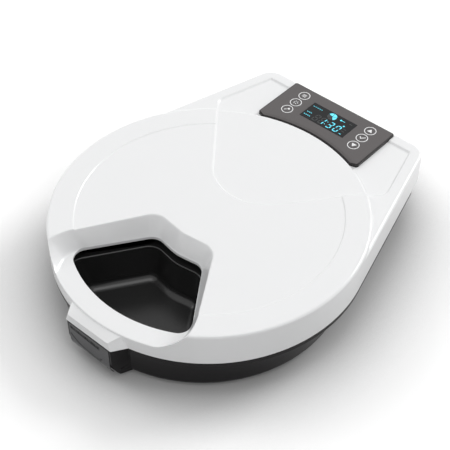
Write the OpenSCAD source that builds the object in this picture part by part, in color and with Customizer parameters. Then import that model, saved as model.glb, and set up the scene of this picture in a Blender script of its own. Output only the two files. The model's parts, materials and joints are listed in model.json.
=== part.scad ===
// Rotating pet feeder with a timer: five meals in a round tray under a hinged cover.
// Sizes are in millimetres. The front faces -Y and heights are measured from the table.

/* [Cover] */
// Radius of the round cover
cover_r = 156; // [152:0.5:160]
// Height of the round top above the table
cover_top = 83; // [81:0.5:88]
// Drop from the round top to the top of the rear block
block_drop = 5; // [4:0.5:6]
// Height of the seam between cover and base
seam_z = 46; // [45:0.5:47]
// Depth of the rear block behind the round top
rear_depth = 59; // [56:0.5:64]
// Half width of the rear end
rear_half = 106; // [104:0.5:108]
// Radius of the rear corners
rear_corner_r = 18; // [14:1:20]
// Wall of the cover moulding
cover_wall = 2.5; // [2:0.1:3]
// Radius of the rounded top edges
cover_edge_r = 3; // [2:0.5:3.5]
// Border left around the sunken round field on top
field_border = 26; // [22:1:30]
// Depth of the sunken round field
field_depth = 1; // [0.5:0.1:1.2]
// Half angle of the sunken shield
shield_angle = 39; // [37:0.5:41]
// Depth of the sunken shield
shield_depth = 1.8; // [1.4:0.1:2]
// Border left between the shield and the rear edges
shield_border = 13; // [11:0.5:15]
// Radius of the shield's rounded tip
shield_apex_r = 54; // [50:1:58]

/* [Food window] */
// Height of the window's lower edge
lip_z = 61.4; // [60:0.2:63]
// Half angle of the window's sides at the lower edge
window_angle = 35; // [33:0.5:36]
// Width of the lip in front of the window
lip_w = 20; // [18:0.5:22]
// Overhang of the window's inner lower edge into the open meal
window_overhang = 2.5; // [1.5:0.5:4]
// Half angle of the window's sides at the top
mouth_angle = 31.4; // [30:0.2:32.4]
// Set-in of the mouth's inner edge from the window's
mouth_setin = 10; // [8:0.5:12]
// Set-out of the mouth's sides from a radial line
mouth_offset = 14.5; // [13:0.5:16]

/* [Lift tab] */
// Half width of the lift tab at the cover
tab_root = 39; // [36:1:42]
// Half width of the lift tab at its tip
tab_tip = 29; // [27:1:32]
// Distance by which the lift tab stands out from the cover
tab_out = 9; // [7.5:0.5:12]

/* [Base] */
// Height of the rubber feet
foot_h = 2; // [1.5:0.1:3]
// Radius of the rubber feet
foot_r = 8; // [6:0.5:10]
// Thickness of the base floor
floor_t = 2.5; // [2.2:0.1:3]
// Wall of the base moulding
base_wall = 2.5; // [2.2:0.1:3]
// Set-in of the base's top from the cover's outside
base_setin = 3.5; // [3.2:0.1:4]
// Set-in of the base's front and sides near the floor from the cover's outside
base_low_setin = 15; // [13:0.5:17]
// Shift of the base's round front near the floor towards the front
base_foot_shift = 9; // [7:0.5:10]
// Set-in of the base's rear face near the floor from the cover's outside
base_rear_setin = 17; // [16:0.5:19]
// Radius of the base's lower edge
base_round = 8; // [6:0.5:9]
// Set-in of the wall between the tray and the rear bay from the cover's outside
well_setin = 6.5; // [6:0.25:7.5]

/* [Food tray] */
// Number of meals
meals = 5; // [5]
// Gap between the food tray and the wall around it
tray_gap = 4.5; // [3.5:0.5:6]
// Height of the tray's rim
tray_top = 50; // [49.5:0.1:51]
// Height of the tray's underside
tray_bottom = 8; // [7:0.5:9]
// Wall of the tray moulding
tray_wall = 1.6; // [1.4:0.1:2]
// Half angle of one meal compartment
meal_angle = 34.3; // [33:0.1:34.5]
// Width of the rim outside the compartments
meal_border = 4; // [3.5:0.5:5.5]
// Distance from the drive housing to a compartment's inner edge at the rim
meal_hub_gap = 9.5; // [8.5:0.25:11]

/* [Drive] */
// Module of the two gears
gear_module = 0.8; // [0.76:0.01:0.82]
// Teeth on the tray's gear
gear_teeth = 48; // [48]
// Teeth on the motor's pinion
pinion_teeth = 12; // [12]
// Face width of the tray's gear
gear_width = 5; // [4:0.5:6]
// Radius of the tray's spindle
spindle_r = 3; // [2.5:0.1:3.4]
// Radius of the gear motor
motor_r = 11.5; // [10.5:0.5:12]
// Height of the gear motor
motor_h = 20; // [18:0.5:21]
// Room between the motor's ring and the drive housing
motor_room = 0.9; // [0.5:0.1:2]

/* [Control panel] */
// Distance from the middle of a key column to the control panel's side
key_margin = 21.4; // [19:0.1:24]
// Height of the control panel above the rear block
panel_h = 2.3; // [2:0.1:2.6]
// Width of the display window
display_w = 56.5; // [52:0.5:60]
// Depth of the display window from front to rear
display_d = 26.3; // [24:0.5:28]
// Distance from the round top's rear edge to the middle of the keys
keys_back = 28.9; // [28:0.1:30]
// Distance between the rows of keys
key_pitch = 14.5; // [14:0.1:15]
// Half distance between the two columns of keys
key_half = 43.6; // [42.5:0.1:45]
// Radius of a key cap
key_r = 5.1; // [4.6:0.1:5.3]
// Travel of a key
key_travel = 0.5; // [0.3:0.1:0.6]

/* [Batteries] */
// Radius of a battery cell
cell_r = 7.1; // [6.9:0.05:7.25]
// Length of a battery cell
cell_len = 50.5; // [49.5:0.1:51]
// Room for the contact at each end of a row of cells
contact_room = 3.75; // [3.5:0.25:4.5]
// Distance from the wall around the tray to the battery door
door_back = 4.5; // [4.3:0.1:5.5]

/* [Hinge and latch] */
// Radius of the hinge pins
pin_r = 1.5; // [1.2:0.1:1.8]
// Radius of the hinge knuckles
knuckle_r = 4; // [3.6:0.1:4.2]
// Distance from the middle to each hinge
hinge_x = 62; // [58:1:66]
// Width of the cover's knuckle
knuckle_w = 12; // [10:0.5:14]
// Set-in of the latch flap's sides from the tab's tip
flap_setin = 3; // [2:0.5:5]
// Thickness of the latch flap
flap_t = 2.4; // [2:0.1:2.8]
// Height of the latch pivot above the table
latch_z = 13; // [12.5:0.1:14]

/* [Fits] */
// Radial running clearance of pins and shafts
run_gap = 0.05; // [0.02:0.01:0.09]
// Clearance between seated pieces
seat_gap = 0.2; // [0.1:0.05:0.3]
// Clearance between pieces that move past each other
slide_gap = 0.35; // [0.3:0.05:0.5]

/* [Hidden] */
eps = 0.01;
far = 400;

// Levels
floor_z = foot_h + floor_t;
block_top = cover_top - block_drop;
base_top = seam_z + 3;
bay_z = seam_z - 5;

// Reaches from the tray axis
rear_y = cover_r + rear_depth;
tab_reach = cover_r + tab_out;
field_r = cover_r - field_border;
well_r = cover_r - well_setin;
tray_r = well_r - tray_gap;
meal_outer_r = tray_r - meal_border;
base_foot_r = cover_r - base_low_setin;
base_rear_half = rear_half - base_low_setin;
base_rear_y = rear_y - base_rear_setin;
origin_y = (rear_y - tab_reach) / 2;

// Plan of the cover and the base
front_n = 60;
disc_rear_n = 36;
corner_n = 7;
cover_corner = [rear_half - rear_corner_r, rear_y - rear_corner_r];
base_corner_r = rear_corner_r - base_setin;
rear_overhang = 12;
base_top_corner = [cover_corner.x, cover_corner.y - rear_overhang];
base_low_corner = [base_rear_half - base_corner_r, base_rear_y - base_corner_r];

// Cover over the rear bay, with a screw at each rear corner and one on each side of the well
bay_front_in = 66;
bay_front_y = cover_r - bay_front_in;
bay_t = 2;
screw_r = 1.4;
bay_corner_in = [30, 37];
bay_corner_hole = [rear_half, rear_y] - bay_corner_in;
bay_side_out = 8.9;
bay_side_hole = (well_r + bay_side_out) * [cos(45), sin(45)];
bay_holes = [for (side = [-1, 1], p = [bay_corner_hole, bay_side_hole]) [side * p.x, p.y]];

// Rubber feet, two pairs around the front and one pair at the rear corners
foot_in = 24;
foot_circle = base_foot_r - foot_in;
foot_directions = [-47, 30.5];
foot_corner_in = [19, 28];
foot_corner = [base_rear_half, base_rear_y] - foot_corner_in;
foot_row = concat(
    [for (a = foot_directions) [foot_circle * cos(a), foot_circle * sin(a) - base_foot_shift]],
    [foot_corner]
);
foot_places = [for (side = [-1, 1], p = foot_row) [side * p.x, p.y]];

// Lift tab, and the latch housing under it
tab_root_y = cover_r - 6;
tab_front_z = seam_z + 10.5;
tab_draft = [5.8, 3.2];
tab_corner_r = 2;
housing_turn_z = 26;
housing_draw = 11;
housing_face = tab_reach - 0.5;
housing_floor_z = foot_h + 5;

// Hinge and latch places
hinge_y = rear_y - cover_wall - knuckle_r + 0.5;
hinge_z = seam_z - knuckle_r - 2;
leaf_t = 2;
leaf_drop = 12;
leaf_top = block_top - leaf_drop;
leaf_screws = [12, 5];
leaf_face_y = rear_y - cover_wall - seat_gap / 2 - leaf_t;
lug_w = 6;
ear_r = pin_r + 1.3;
latch_y = -base_foot_r - base_foot_shift - ear_r - 2 * slide_gap;
cheek_w = 4;
flap_half = tab_tip - flap_setin;
flap_face_y = -housing_face;
flap_low_z = foot_h + 7.5;
ledge = 0.4;
flap_top = seam_z - 1.5;

// Drive places
motor_ring = 1.6;
housing_wall = 2;
gear_r = gear_module * gear_teeth / 2;
pinion_r = gear_module * pinion_teeth / 2;
shaft_gap = gear_r + pinion_r;
housing_r = shaft_gap + motor_r + motor_ring + motor_room + housing_wall;
boss_h = 9;
bush_flange = 1;
boss_top = floor_z + boss_h;
gear_z = floor_z + motor_h + 4;
housing_top = gear_z + gear_width + 8.5;
head_top = tray_top - tray_wall - seat_gap;
head_r = 10;
bush_r = spindle_r + 2;
cam_r = shaft_gap - motor_r - 1;
cam_t = 3;
cam_z = boss_top + bush_flange + 3;

// Window and compartments around the drive housing
meal_inner_r = housing_r + meal_hub_gap;
window_inner_r = meal_inner_r - window_overhang;
mouth_inner_r = window_inner_r - mouth_setin;
window_outer_r = cover_r - lip_w;

// Window corners, at the window's lower edge and at its mouth
bump_rise = 3;
bump_r = [14, 18];
flare_along = [window_outer_r - 20, window_outer_r - 6];
flare_r = 60;
flare_end = [10, 3];
lip_corner_r = 13;

// Battery places
row_gap = 1.5;
door_y = well_r + door_back;
box_d = 4 * cell_r + 2 + row_gap;
cells_z = floor_z + cell_r + 0.5;
cells_top = cells_z + cell_r;
cell_rows = [for (row = [0, 1]) door_y + 1 + cell_r + row * (2 * cell_r + row_gap)];
cell_x = (cell_len + 1.5) / 2;
door_half = cell_x + cell_len / 2 + contact_room;
door_rise = 10;

// Control panel places
panel_top = block_top + panel_h;
panel_half = key_half + key_margin;
panel_rear = rear_y - 2.5;
keys_y = cover_r + keys_back;
panel_front_r = cover_r + 1;
opening_half = panel_half - 4;
opening_front = cover_r + 8;
opening_rear = panel_rear - 5;
board_t = 1.6;
board_half = opening_half - 5;
board_d = 2 * key_pitch + 12;
board_hole = [board_half - 4, board_d / 2 - 3.5];
key_flange = 0.8;
stem_r = 1.8;
switch_h = 4.7;
key_stem = 4;
key_seat_z = block_top - seat_gap;
stem_z = key_seat_z - key_flange - key_stem;
board_z = stem_z - key_travel - 0.1 - switch_h - board_t;

// Colours
white = [0.94, 0.94, 0.93];
black = [0.09, 0.09, 0.10];
charcoal = [0.20, 0.20, 0.21];
panel_grey = [0.35, 0.34, 0.34];
key_grey = [0.72, 0.72, 0.72];
steel = [0.75, 0.76, 0.78];
brass = [0.80, 0.66, 0.36];
board_green = [0.10, 0.38, 0.20];
screen_blue = [0.20, 0.62, 0.72];
glass_dark = [0.08, 0.10, 0.12];
nylon = [0.90, 0.88, 0.80];
cell_grey = [0.45, 0.46, 0.48];

// Outline helpers

function arc_pts(c, r, a0, a1, n) =
    [for (i = [0:n]) c + r * [cos(a0 + (a1 - a0) * i / n), sin(a0 + (a1 - a0) * i / n)]];

// Whole outline from its right half, which starts on the middle line, and ends there if it is closed
function both_sides(half, closed) =
    concat(
        [for (i = [len(half) - 1:-1:0]) half[i]],
        [for (i = [1:len(half) - (closed ? 2 : 1)]) [-half[i].x, half[i].y]]
    );

// Direction in which a straight side faces, from the round front's centre
function side_facing(r, yc, corner, rc) =
    let (reach = corner - [0, yc])
    atan2(reach.y, reach.x) - acos((r - rc) / norm(reach));

// Round front and two rear corners, joined by straight tangents
function teardrop(r, yc, corner, rc) =
    let (t = side_facing(r, yc, corner, rc))
    concat(
        arc_pts([0, yc], r, 180 - t, 360 + t, front_n),
        arc_pts(corner, rc, t, 90, corner_n),
        arc_pts([-corner.x, corner.y], rc, 90, 180 - t, corner_n)
    );

function cover_plan(inset) = teardrop(cover_r - inset, 0, cover_corner, rear_corner_r - inset);

// Round top, whose front shares its corners with the cover's plan
function disc_plan(inset) =
    let (
        t = side_facing(cover_r, 0, cover_corner, rear_corner_r),
        step = (180 - 2 * t) / disc_rear_n
    )
    concat(
        arc_pts([0, 0], cover_r - inset, 180 - t, 360 + t, front_n),
        arc_pts([0, 0], cover_r - inset, t + step, 180 - t - step, disc_rear_n - 2)
    );

// Plan of the base at a height, between its plan near the floor and its plan at the top
function base_plan(z, inset) =
    let (s = max(0, (z - foot_h - base_round) / (base_top - foot_h - base_round)))
    teardrop(
        base_foot_r + s * (cover_r - base_setin - base_foot_r) - inset,
        -base_foot_shift * (1 - s),
        base_low_corner + s * (base_top_corner - base_low_corner),
        base_corner_r - inset
    );

// Corner with rounded tip, as points from one side to the other
function round_tip(a, b, c, r, n) =
    let (
        u = (a - b) / norm(a - b),
        v = (c - b) / norm(c - b),
        half = acos(u * v) / 2,
        back = r / tan(half),
        m = b + (u + v) / norm(u + v) * r / sin(half),
        p = b + u * back - m,
        q = b + v * back - m,
        a0 = atan2(p.y, p.x),
        turn = atan2(p.x * q.y - p.y * q.x, p * q)
    )
    r <= 0 ? [b] : arc_pts(m, r, a0, a0 + turn, n);

function rounded(pts, radii, n) =
    let (k = len(pts))
    [for (i = [0:k - 1]) each round_tip(pts[(i + k - 1) % k], pts[i], pts[(i + 1) % k], radii[i], n)];

function at_z(pts, z) = [for (p = pts) [p.x, p.y, z]];

// Solid through a stack of outlines that have as many points each
module skin(rings) {
    n = len(rings[0]);
    top = (len(rings) - 1) * n;
    polyhedron(
        points = [for (ring = rings) each ring],
        faces = concat(
            [[for (i = [0:n - 1]) i]],
            [[for (i = [n - 1:-1:0]) top + i]],
            [for (j = [0:len(rings) - 2], i = [0:n - 1])
                [j * n + i, (j + 1) * n + i, (j + 1) * n + (i + 1) % n]],
            [for (j = [0:len(rings) - 2], i = [0:n - 1])
                [j * n + i, (j + 1) * n + (i + 1) % n, j * n + (i + 1) % n]]
        )
    );
}

module slab(z0, z1) {
    translate([0, 0, z0])
        linear_extrude(z1 - z0) children();
}

// Centre of the round bump where an opening's inner arc turns into its side
function bump_centre(top_y, r, angle, offset) =
    [(offset - r - (top_y - r) * sin(angle)) / cos(angle), top_y - r];

// Right half of an opening's inner edge: inner arc, bump, then the end of the side's corner
function inner_edge(ri, top_y, r, angle, offset) =
    let (
        c = bump_centre(top_y, r, angle, offset),
        turn = atan2(c.y, c.x) - acos((ri + r) / norm(c))
    )
    concat(arc_pts([0, 0], ri, -90, turn, 4), arc_pts(c, r, turn + 180, angle, 8));

// Opening shaped like one slice of the tray, with rounded corners
function slice_plan(ri, top_y, r, angle, offset, ro, corner) =
    let (
        side = [cos(angle), sin(angle)],
        out = [sin(angle), -cos(angle)],
        c = side * (offset - corner) + out * sqrt((ro - corner) ^ 2 - (offset - corner) ^ 2),
        turn = atan2(c.y, c.x),
        half = concat(
            inner_edge(ri, top_y, r, angle, offset),
            arc_pts(c, corner, angle, turn, 6),
            arc_pts([0, 0], ro, turn - (turn + 90) / 8, -90, 7)
        )
    )
    both_sides(half, true);

// Funnel outline at one level, which flares and runs out through the cover's rim
function funnel_plan(ri, top_y, r, angle, offset, along, flare_r, end_angle) =
    let (
        c = [cos(angle), sin(angle)] * (offset - flare_r) + [sin(angle), -cos(angle)] * along,
        flare = arc_pts(c, flare_r, angle, end_angle, 6),
        tip = flare[6],
        run = tip.y + cover_r + 20,
        half = concat(
            inner_edge(ri, top_y, r, angle, offset),
            flare,
            [[tip.x + run * tan(end_angle), -cover_r - 20]]
        )
    )
    both_sides(half, false);

function between(ends, s) = ends[0] + s * (ends[1] - ends[0]);

// Funnel outline between the window's lower edge and its mouth, grown by a wall
function funnel_ring(s, grow) =
    funnel_plan(
        window_inner_r + s * (mouth_inner_r - window_inner_r) - grow,
        -(window_inner_r + s * (mouth_inner_r - window_inner_r)) + bump_rise + grow,
        between(bump_r, s) + grow,
        window_angle + s * (mouth_angle - window_angle),
        s * mouth_offset + grow,
        between(flare_along, s),
        flare_r + grow,
        between(flare_end, s)
    );

// Cover

// Upright solid with a rounded top edge, from outlines that shrink by the same rule
module domed(z0, z1, edge, inset, round_top) {
    hull() {
        slab(z0, z1 - edge) polygon(round_top ? disc_plan(inset) : cover_plan(inset));
        for (a = [30:30:90]) {
            set_in = inset + edge * (1 - cos(a));
            slab(z1 - edge * (1 - sin(a)) - eps, z1 - edge * (1 - sin(a)))
                polygon(round_top ? disc_plan(set_in) : cover_plan(set_in));
        }
    }
}

module cover_body(inset, z0, lower) {
    edge = cover_edge_r - inset / 2;
    domed(z0, block_top - lower, edge, inset, false);
    domed(z0, cover_top - lower, edge, inset, true);
}

// Share of the way up the funnel, nought at the window's lower edge and one at the mouth
function funnel_share(z) = (z - lip_z) / (cover_top - lip_z);

module funnel(grow, z0) {
    skin([for (z = [z0, cover_top + 2]) at_z(funnel_ring(funnel_share(z), grow), z)]);
}

// Lip in front of the window, which falls a little towards the rim
module window_lip() {
    fall = 1.5;
    corner_relief = 1.5;
    low = lip_z - 2 * cover_wall;
    difference() {
        rotate_extrude($fn = 96)
            polygon([[window_inner_r, low], [cover_r + 30, low], [cover_r + 30, lip_z - fall],
                [window_outer_r, lip_z], [window_inner_r, lip_z]]);
        slab(low - 1, lip_z + 1)
            polygon(slice_plan(window_inner_r - 6, -window_inner_r + 6 + bump_rise, bump_r[0], window_angle,
                corner_relief, window_outer_r, lip_corner_r));
    }
}

module window_cut() {
    difference() {
        funnel(0, lip_z - 2 * cover_wall + 0.5);
        window_lip();
    }
}

// Sunken shield between the disc and the rear edges, grown by the wall under it
module shield_plan(grow) {
    side = [sin(shield_angle), cos(shield_angle)];
    apex_y = shield_apex_r / side.x;
    border = shield_border - grow;
    corner = cover_corner + (rear_corner_r - border) * [1, 1];
    side_shift = grow * [side.y, -side.x];
    intersection() {
        polygon(concat(
            arc_pts([0, apex_y], shield_apex_r + grow, 180 + shield_angle, 360 - shield_angle, 16),
            [far * side + side_shift, [-far * side.x - side_shift.x, far * side.y + side_shift.y]]
        ));
        union() {
            polygon(teardrop(cover_r - border, 0, cover_corner, rear_corner_r - border));
            circle(cover_r + 2, $fn = 96);
            translate([-corner.x, corner.y - 60]) square([2 * corner.x, 60]);
        }
    }
}

// Floor under the sunken shield, as thick as the cover's wall
module shield_floor() {
    slab(cover_top - field_depth - shield_depth - cover_wall, cover_top - cover_wall + eps)
        intersection() {
            shield_plan(cover_wall);
            circle(cover_r - cover_wall + eps, $fn = 96);
        }
    slab(block_top - shield_depth - cover_wall, block_top - cover_wall + eps)
        intersection() {
            shield_plan(cover_wall);
            polygon(cover_plan(cover_wall - eps));
        }
}

// Plan of the lift tab, narrower by a draft at its root and its tip
function tab_plan(inset, draft) =
    let (root = tab_root - inset - draft[0], tip = tab_tip - inset - draft[1])
    rounded([[-root, -tab_root_y], [-tip, -tab_reach + inset], [tip, -tab_reach + inset], [root, -tab_root_y]],
        [0, tab_corner_r, tab_corner_r, 0], 4);

// Lift tab with sloping sides and a top that rises to the window's lip
module tab_solid(inset) {
    low = inset > 0 ? seam_z - 1 : seam_z;
    front = tab_front_z - inset;
    back = lip_z - 1 - inset;
    hull() {
        slab(low, low + 1) polygon(tab_plan(inset, [0, 0]));
        slab(front - 0.5, front) polygon(tab_plan(inset, tab_draft));
        intersection() {
            slab(back - 0.5, back) polygon(tab_plan(inset, tab_draft));
            translate([-far / 2, -cover_r - 1, 0]) cube([far, far, far]);
        }
    }
}

// Stiffening rib under the round top, deeper at its outer end
module cover_rib(angle) {
    rib_t = 1.6;
    rib_start = window_inner_r + 13;
    rotate(angle)
        hull() {
            translate([rib_start, -rib_t / 2, cover_top - 8]) cube([1, rib_t, 8 - cover_wall]);
            translate([cover_r - 8, -rib_t / 2, cover_top - 12]) cube([6, rib_t, 12 - cover_wall]);
        }
}

module cover_shell() {
    color(white)
        difference() {
            union() {
                difference() {
                    cover_body(0, seam_z, 0);
                    cover_body(cover_wall, seam_z - 1, cover_wall);
                }
                intersection() {
                    cover_body(0, seam_z, 0);
                    funnel(cover_wall, lip_z - cover_wall);
                }
                shield_floor();
                tab_solid(0);
                for (a = [-30:30:210]) cover_rib(a);
            }
            window_cut();
            tab_solid(cover_wall);
            slab(cover_top - field_depth, far) circle(field_r, $fn = 96);
            slab(block_top - shield_depth, block_top + eps) shield_plan(0);
            slab(cover_top - shield_depth - field_depth, far) shield_plan(0);
            slab(board_z, far) panel_opening(opening_half, opening_front, opening_rear);
        }
}

// Opening in the rear block under the control panel
module panel_opening(half, front_r, rear) {
    difference() {
        translate([-half, 0]) square([2 * half, rear]);
        circle(front_r, $fn = 96);
    }
}

module cover_hinges() {
    color(charcoal)
        for (side = [-1, 1])
            translate([side * hinge_x, 0, 0])
                difference() {
                    union() {
                        translate([-knuckle_w / 2, hinge_y, hinge_z])
                            rotate([0, 90, 0]) cylinder(knuckle_w, r = knuckle_r, $fn = 48);
                        translate([-knuckle_w / 2, leaf_face_y, hinge_z])
                            cube([knuckle_w, leaf_t, leaf_top - hinge_z]);
                    }
                    translate([-far / 2, hinge_y, hinge_z])
                        rotate([0, 90, 0]) cylinder(far, r = pin_r + run_gap, $fn = 48);
                }
}

module hinge_screws() {
    head_h = 1.6;
    color(steel)
        for (side = [-1, 1], drop = leaf_screws)
            translate([side * hinge_x, leaf_face_y, leaf_top - drop])
                rotate([90, 0, 0]) cylinder(head_h, r = 2.6, $fn = 32);
}

// Hook under the lift tab that the latch flap holds, on a foot under the cover's wall
module cover_catch() {
    hook_half = 9;
    hook_t = 1.8;
    barb = 0.9;
    drop = 8;
    foot_t = 2;
    hook_y = flap_face_y + flap_t + ledge + slide_gap + barb;
    color(white)
        translate([-hook_half, hook_y, seam_z - drop])
            union() {
                cube([2 * hook_half, hook_t, drop]);
                translate([0, -barb, 0]) cube([2 * hook_half, barb + eps, 2.4]);
                translate([0, 0, drop - foot_t]) cube([2 * hook_half, -cover_r + cover_wall - hook_y, foot_t]);
            }
}

// Control panel

module panel_plan(inset) {
    front = panel_front_r + inset;
    r = 6;
    difference() {
        polygon(rounded([[-panel_half + inset, 0], [panel_half - inset, 0],
            [panel_half - inset, panel_rear - inset], [-panel_half + inset, panel_rear - inset]],
            [0, 0, 2, 2], 4));
        circle(front, $fn = 96);
        for (side = [-1, 1])
            translate([side * (panel_half - inset), sqrt(front ^ 2 - panel_half ^ 2)])
                rotate(45) square([r, r], center = true);
    }
}

module control_panel() {
    bevel = 0.9;
    skirt_t = 1.6;
    skirt_h = 5;
    color(panel_grey)
        difference() {
            union() {
                slab(block_top, panel_top - bevel) panel_plan(0);
                slab(panel_top - bevel, panel_top) panel_plan(bevel);
                slab(block_top - skirt_h, block_top)
                    difference() {
                        panel_opening(opening_half - seat_gap, opening_front + seat_gap, opening_rear - seat_gap);
                        panel_opening(opening_half - skirt_t, opening_front + skirt_t + 1, opening_rear - skirt_t);
                    }
            }
            slab(block_top + 1, far)
                translate([0, keys_y]) square([display_w, display_d], center = true);
            slab(block_top - 1, far)
                translate([0, keys_y]) square([display_w - 4, display_d - 4], center = true);
            for (x = [-key_half, key_half], row = [-1:1])
                translate([x, keys_y + row * key_pitch, block_top - 1])
                    cylinder(far, r = key_r + seat_gap, $fn = 48);
        }
}

module display_window() {
    color(glass_dark)
        slab(block_top + 1, panel_top + 0.2)
            translate([0, keys_y]) square([display_w - seat_gap, display_d - seat_gap], center = true);
}

module lcd_module() {
    color(screen_blue)
        slab(board_z + board_t, block_top - seat_gap)
            translate([0, keys_y]) square([display_w, display_d], center = true);
}

module circuit_board() {
    color(board_green)
        slab(board_z, board_z + board_t)
            difference() {
                translate([0, keys_y]) square([2 * board_half, board_d], center = true);
                for (x = [-1, 1], y = [-1, 1])
                    translate([x * board_hole.x, keys_y + y * board_hole.y]) circle(1.2, $fn = 24);
            }
}

module board_screws() {
    head_h = 1.4;
    color(steel)
        for (x = [-1, 1], y = [-1, 1])
            translate([x * board_hole.x, keys_y + y * board_hole.y, board_z - head_h]) {
                cylinder(head_h, r = 2.2, $fn = 32);
                cylinder(block_top - board_z + head_h, r = 1.1, $fn = 24);
            }
}

module tact_switches() {
    body = 6;
    color(charcoal)
        for (x = [-key_half, key_half], row = [-1:1])
            translate([x, keys_y + row * key_pitch, board_z + board_t]) {
                translate([-body / 2, -body / 2, 0]) cube([body, body, switch_h - 1.2]);
                cylinder(switch_h, r = 1.7, $fn = 32);
            }
}

module contact_block() {
    color(black)
        slab(base_top + 0.3, board_z)
            translate([0, keys_y]) square([24, 8], center = true);
}

module key(x, row) {
    color(key_grey)
        translate([x, keys_y + row * key_pitch, 0]) {
            translate([0, 0, key_seat_z - key_flange]) cylinder(key_flange, r = key_r + 1.2, $fn = 48);
            translate([0, 0, key_seat_z - eps]) cylinder(panel_top - key_seat_z + 0.7, r = key_r, $fn = 48);
            translate([0, 0, stem_z]) cylinder(key_stem + eps, r = stem_r, $fn = 32);
        }
}

// Base

module base_outer(inset) {
    low = foot_h + inset;
    round_r = base_round - inset;
    top = base_top + (inset > 0 ? 2 : 0);
    skin(concat(
        [for (a = [0:22.5:90])
            at_z(base_plan(0, inset + round_r * (1 - sin(a))), low + round_r * (1 - cos(a)))],
        [at_z(base_plan(top, inset), top)]
    ));
}

// Part of the base moulding that the battery door fills, shrunk by a gap
module door_zone(gap) {
    translate([-door_half + gap, door_y + gap, 0]) cube([2 * (door_half - gap), far, foot_h + door_rise - gap]);
}

module base_moulding() {
    difference() {
        base_outer(0);
        base_outer(base_wall);
    }
}

module hinge_lugs() {
    for (side = [-1, 1], end = [-1, 1])
        translate([side * hinge_x + end * (knuckle_w / 2 + slide_gap + lug_w / 2) - lug_w / 2, 0, 0]) {
            translate([0, hinge_y, hinge_z]) rotate([0, 90, 0]) cylinder(lug_w, r = knuckle_r, $fn = 48);
            translate([0, base_top_corner.y + base_corner_r - 2, hinge_z - knuckle_r])
                cube([lug_w, hinge_y - base_top_corner.y - base_corner_r + 2, 2 * knuckle_r]);
        }
}

// Front of the latch housing at a height, upright at the top and drawn in below
function housing_front(z) =
    housing_face - housing_draw * (max(0, housing_turn_z - z) / (housing_turn_z - foot_h)) ^ 1.5;

// Housing under the lift tab, with a bay for the latch flap between two cheeks
module latch_housing() {
    root = tab_root - 2;
    tip = tab_tip - 1;
    difference() {
        skin([for (z = [foot_h + 2, 9, 14, 20, housing_turn_z, flap_top])
            at_z([[-root, -base_foot_r + 6], [-tip, -housing_front(z)],
                [tip, -housing_front(z)], [root, -base_foot_r + 6]], z)]);
        base_outer(base_wall / 2);
        translate([-flap_half - slide_gap, -far, housing_floor_z])
            cube([2 * (flap_half + slide_gap), far, far]);
    }
}

module base_tub() {
    boss_r = 8;
    color(black)
        difference() {
            union() {
                base_moulding();
                intersection() {
                    base_outer(base_wall - eps);
                    slab(foot_h + 1, bay_z)
                        difference() {
                            circle(well_r + 2, $fn = 96);
                            circle(well_r, $fn = 96);
                            translate([-far / 2, -far]) square([far, far]);
                        }
                }
                slab(floor_z - eps, boss_top) circle(boss_r, $fn = 48);
                translate([0, shaft_gap, floor_z - eps])
                    difference() {
                        cylinder(6, r = motor_r + motor_ring, $fn = 64);
                        translate([0, 0, -1]) cylinder(8, r = motor_r + seat_gap, $fn = 64);
                    }
                hinge_lugs();
                latch_housing();
            }
            translate([0, 0, floor_z]) cylinder(far, r = bush_r, $fn = 48);
            door_zone(0);
            translate([-far / 2, hinge_y, hinge_z])
                rotate([0, 90, 0]) cylinder(far, r = pin_r + 0.02, $fn = 48);
            translate([-far / 2, latch_y, latch_z])
                rotate([0, 90, 0]) cylinder(far, r = pin_r + 0.02, $fn = 48);
        }
}

module rubber_feet() {
    color(charcoal)
        for (p = foot_places)
            translate([p.x, p.y, 0]) cylinder(foot_h, r = foot_r, $fn = 48);
}

module drive_housing() {
    flange_r = housing_r + 5;
    color(charcoal)
        difference() {
            union() {
                slab(floor_z, housing_top) circle(housing_r, $fn = 96);
                slab(floor_z, floor_z + 2) circle(flange_r, $fn = 96);
            }
            slab(floor_z - 1, housing_top - housing_wall) circle(housing_r - housing_wall, $fn = 96);
            cylinder(far, r = bush_r, $fn = 48);
        }
}

module housing_screws() {
    color(steel)
        for (a = [30:60:330])
            rotate(a)
                translate([housing_r + 2.5, 0, floor_z + 2]) cylinder(1.5, r = 2, $fn = 32);
}

module gear_motor() {
    shaft_r = 1.5;
    color(steel)
        translate([0, shaft_gap, floor_z]) {
            cylinder(motor_h, r = motor_r, $fn = 64);
            cylinder(gear_z - floor_z + gear_width + 1, r = shaft_r, $fn = 32);
        }
}

module bush(z, up) {
    translate([0, 0, z])
        difference() {
            union() {
                translate([0, 0, up > 0 ? -4 : 0]) cylinder(4, r = bush_r, $fn = 48);
                cylinder(bush_flange, r = bush_r + 1.5, $fn = 48);
            }
            translate([0, 0, -far / 2]) cylinder(far, r = spindle_r + run_gap, $fn = 48);
        }
}

module spindle_bushes() {
    color(brass) {
        bush(boss_top, 1);
        bush(housing_top, 1);
    }
}

module index_switch() {
    color(black)
        translate([-cam_r - 12 - slide_gap, -4, cam_z - 4])
            union() {
                cube([12, 8, 10]);
                translate([0, 0, -(cam_z - 4 - floor_z)]) cube([4, 8, cam_z - 4 - floor_z]);
            }
}

module battery_box() {
    wall = 1.5;
    side = door_half + wall;
    top = cells_top + 1;
    color(black)
        difference() {
            translate([-side, door_y - wall, floor_z]) cube([2 * side, box_d + 2 * wall, top + wall - floor_z]);
            translate([-door_half, door_y, floor_z - 1]) cube([2 * door_half, box_d, top - floor_z + 1]);
            translate([-side - 1, door_y + 1, floor_z - 1]) cube([2 * side + 2, far, 1 + seat_gap]);
        }
}

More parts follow.
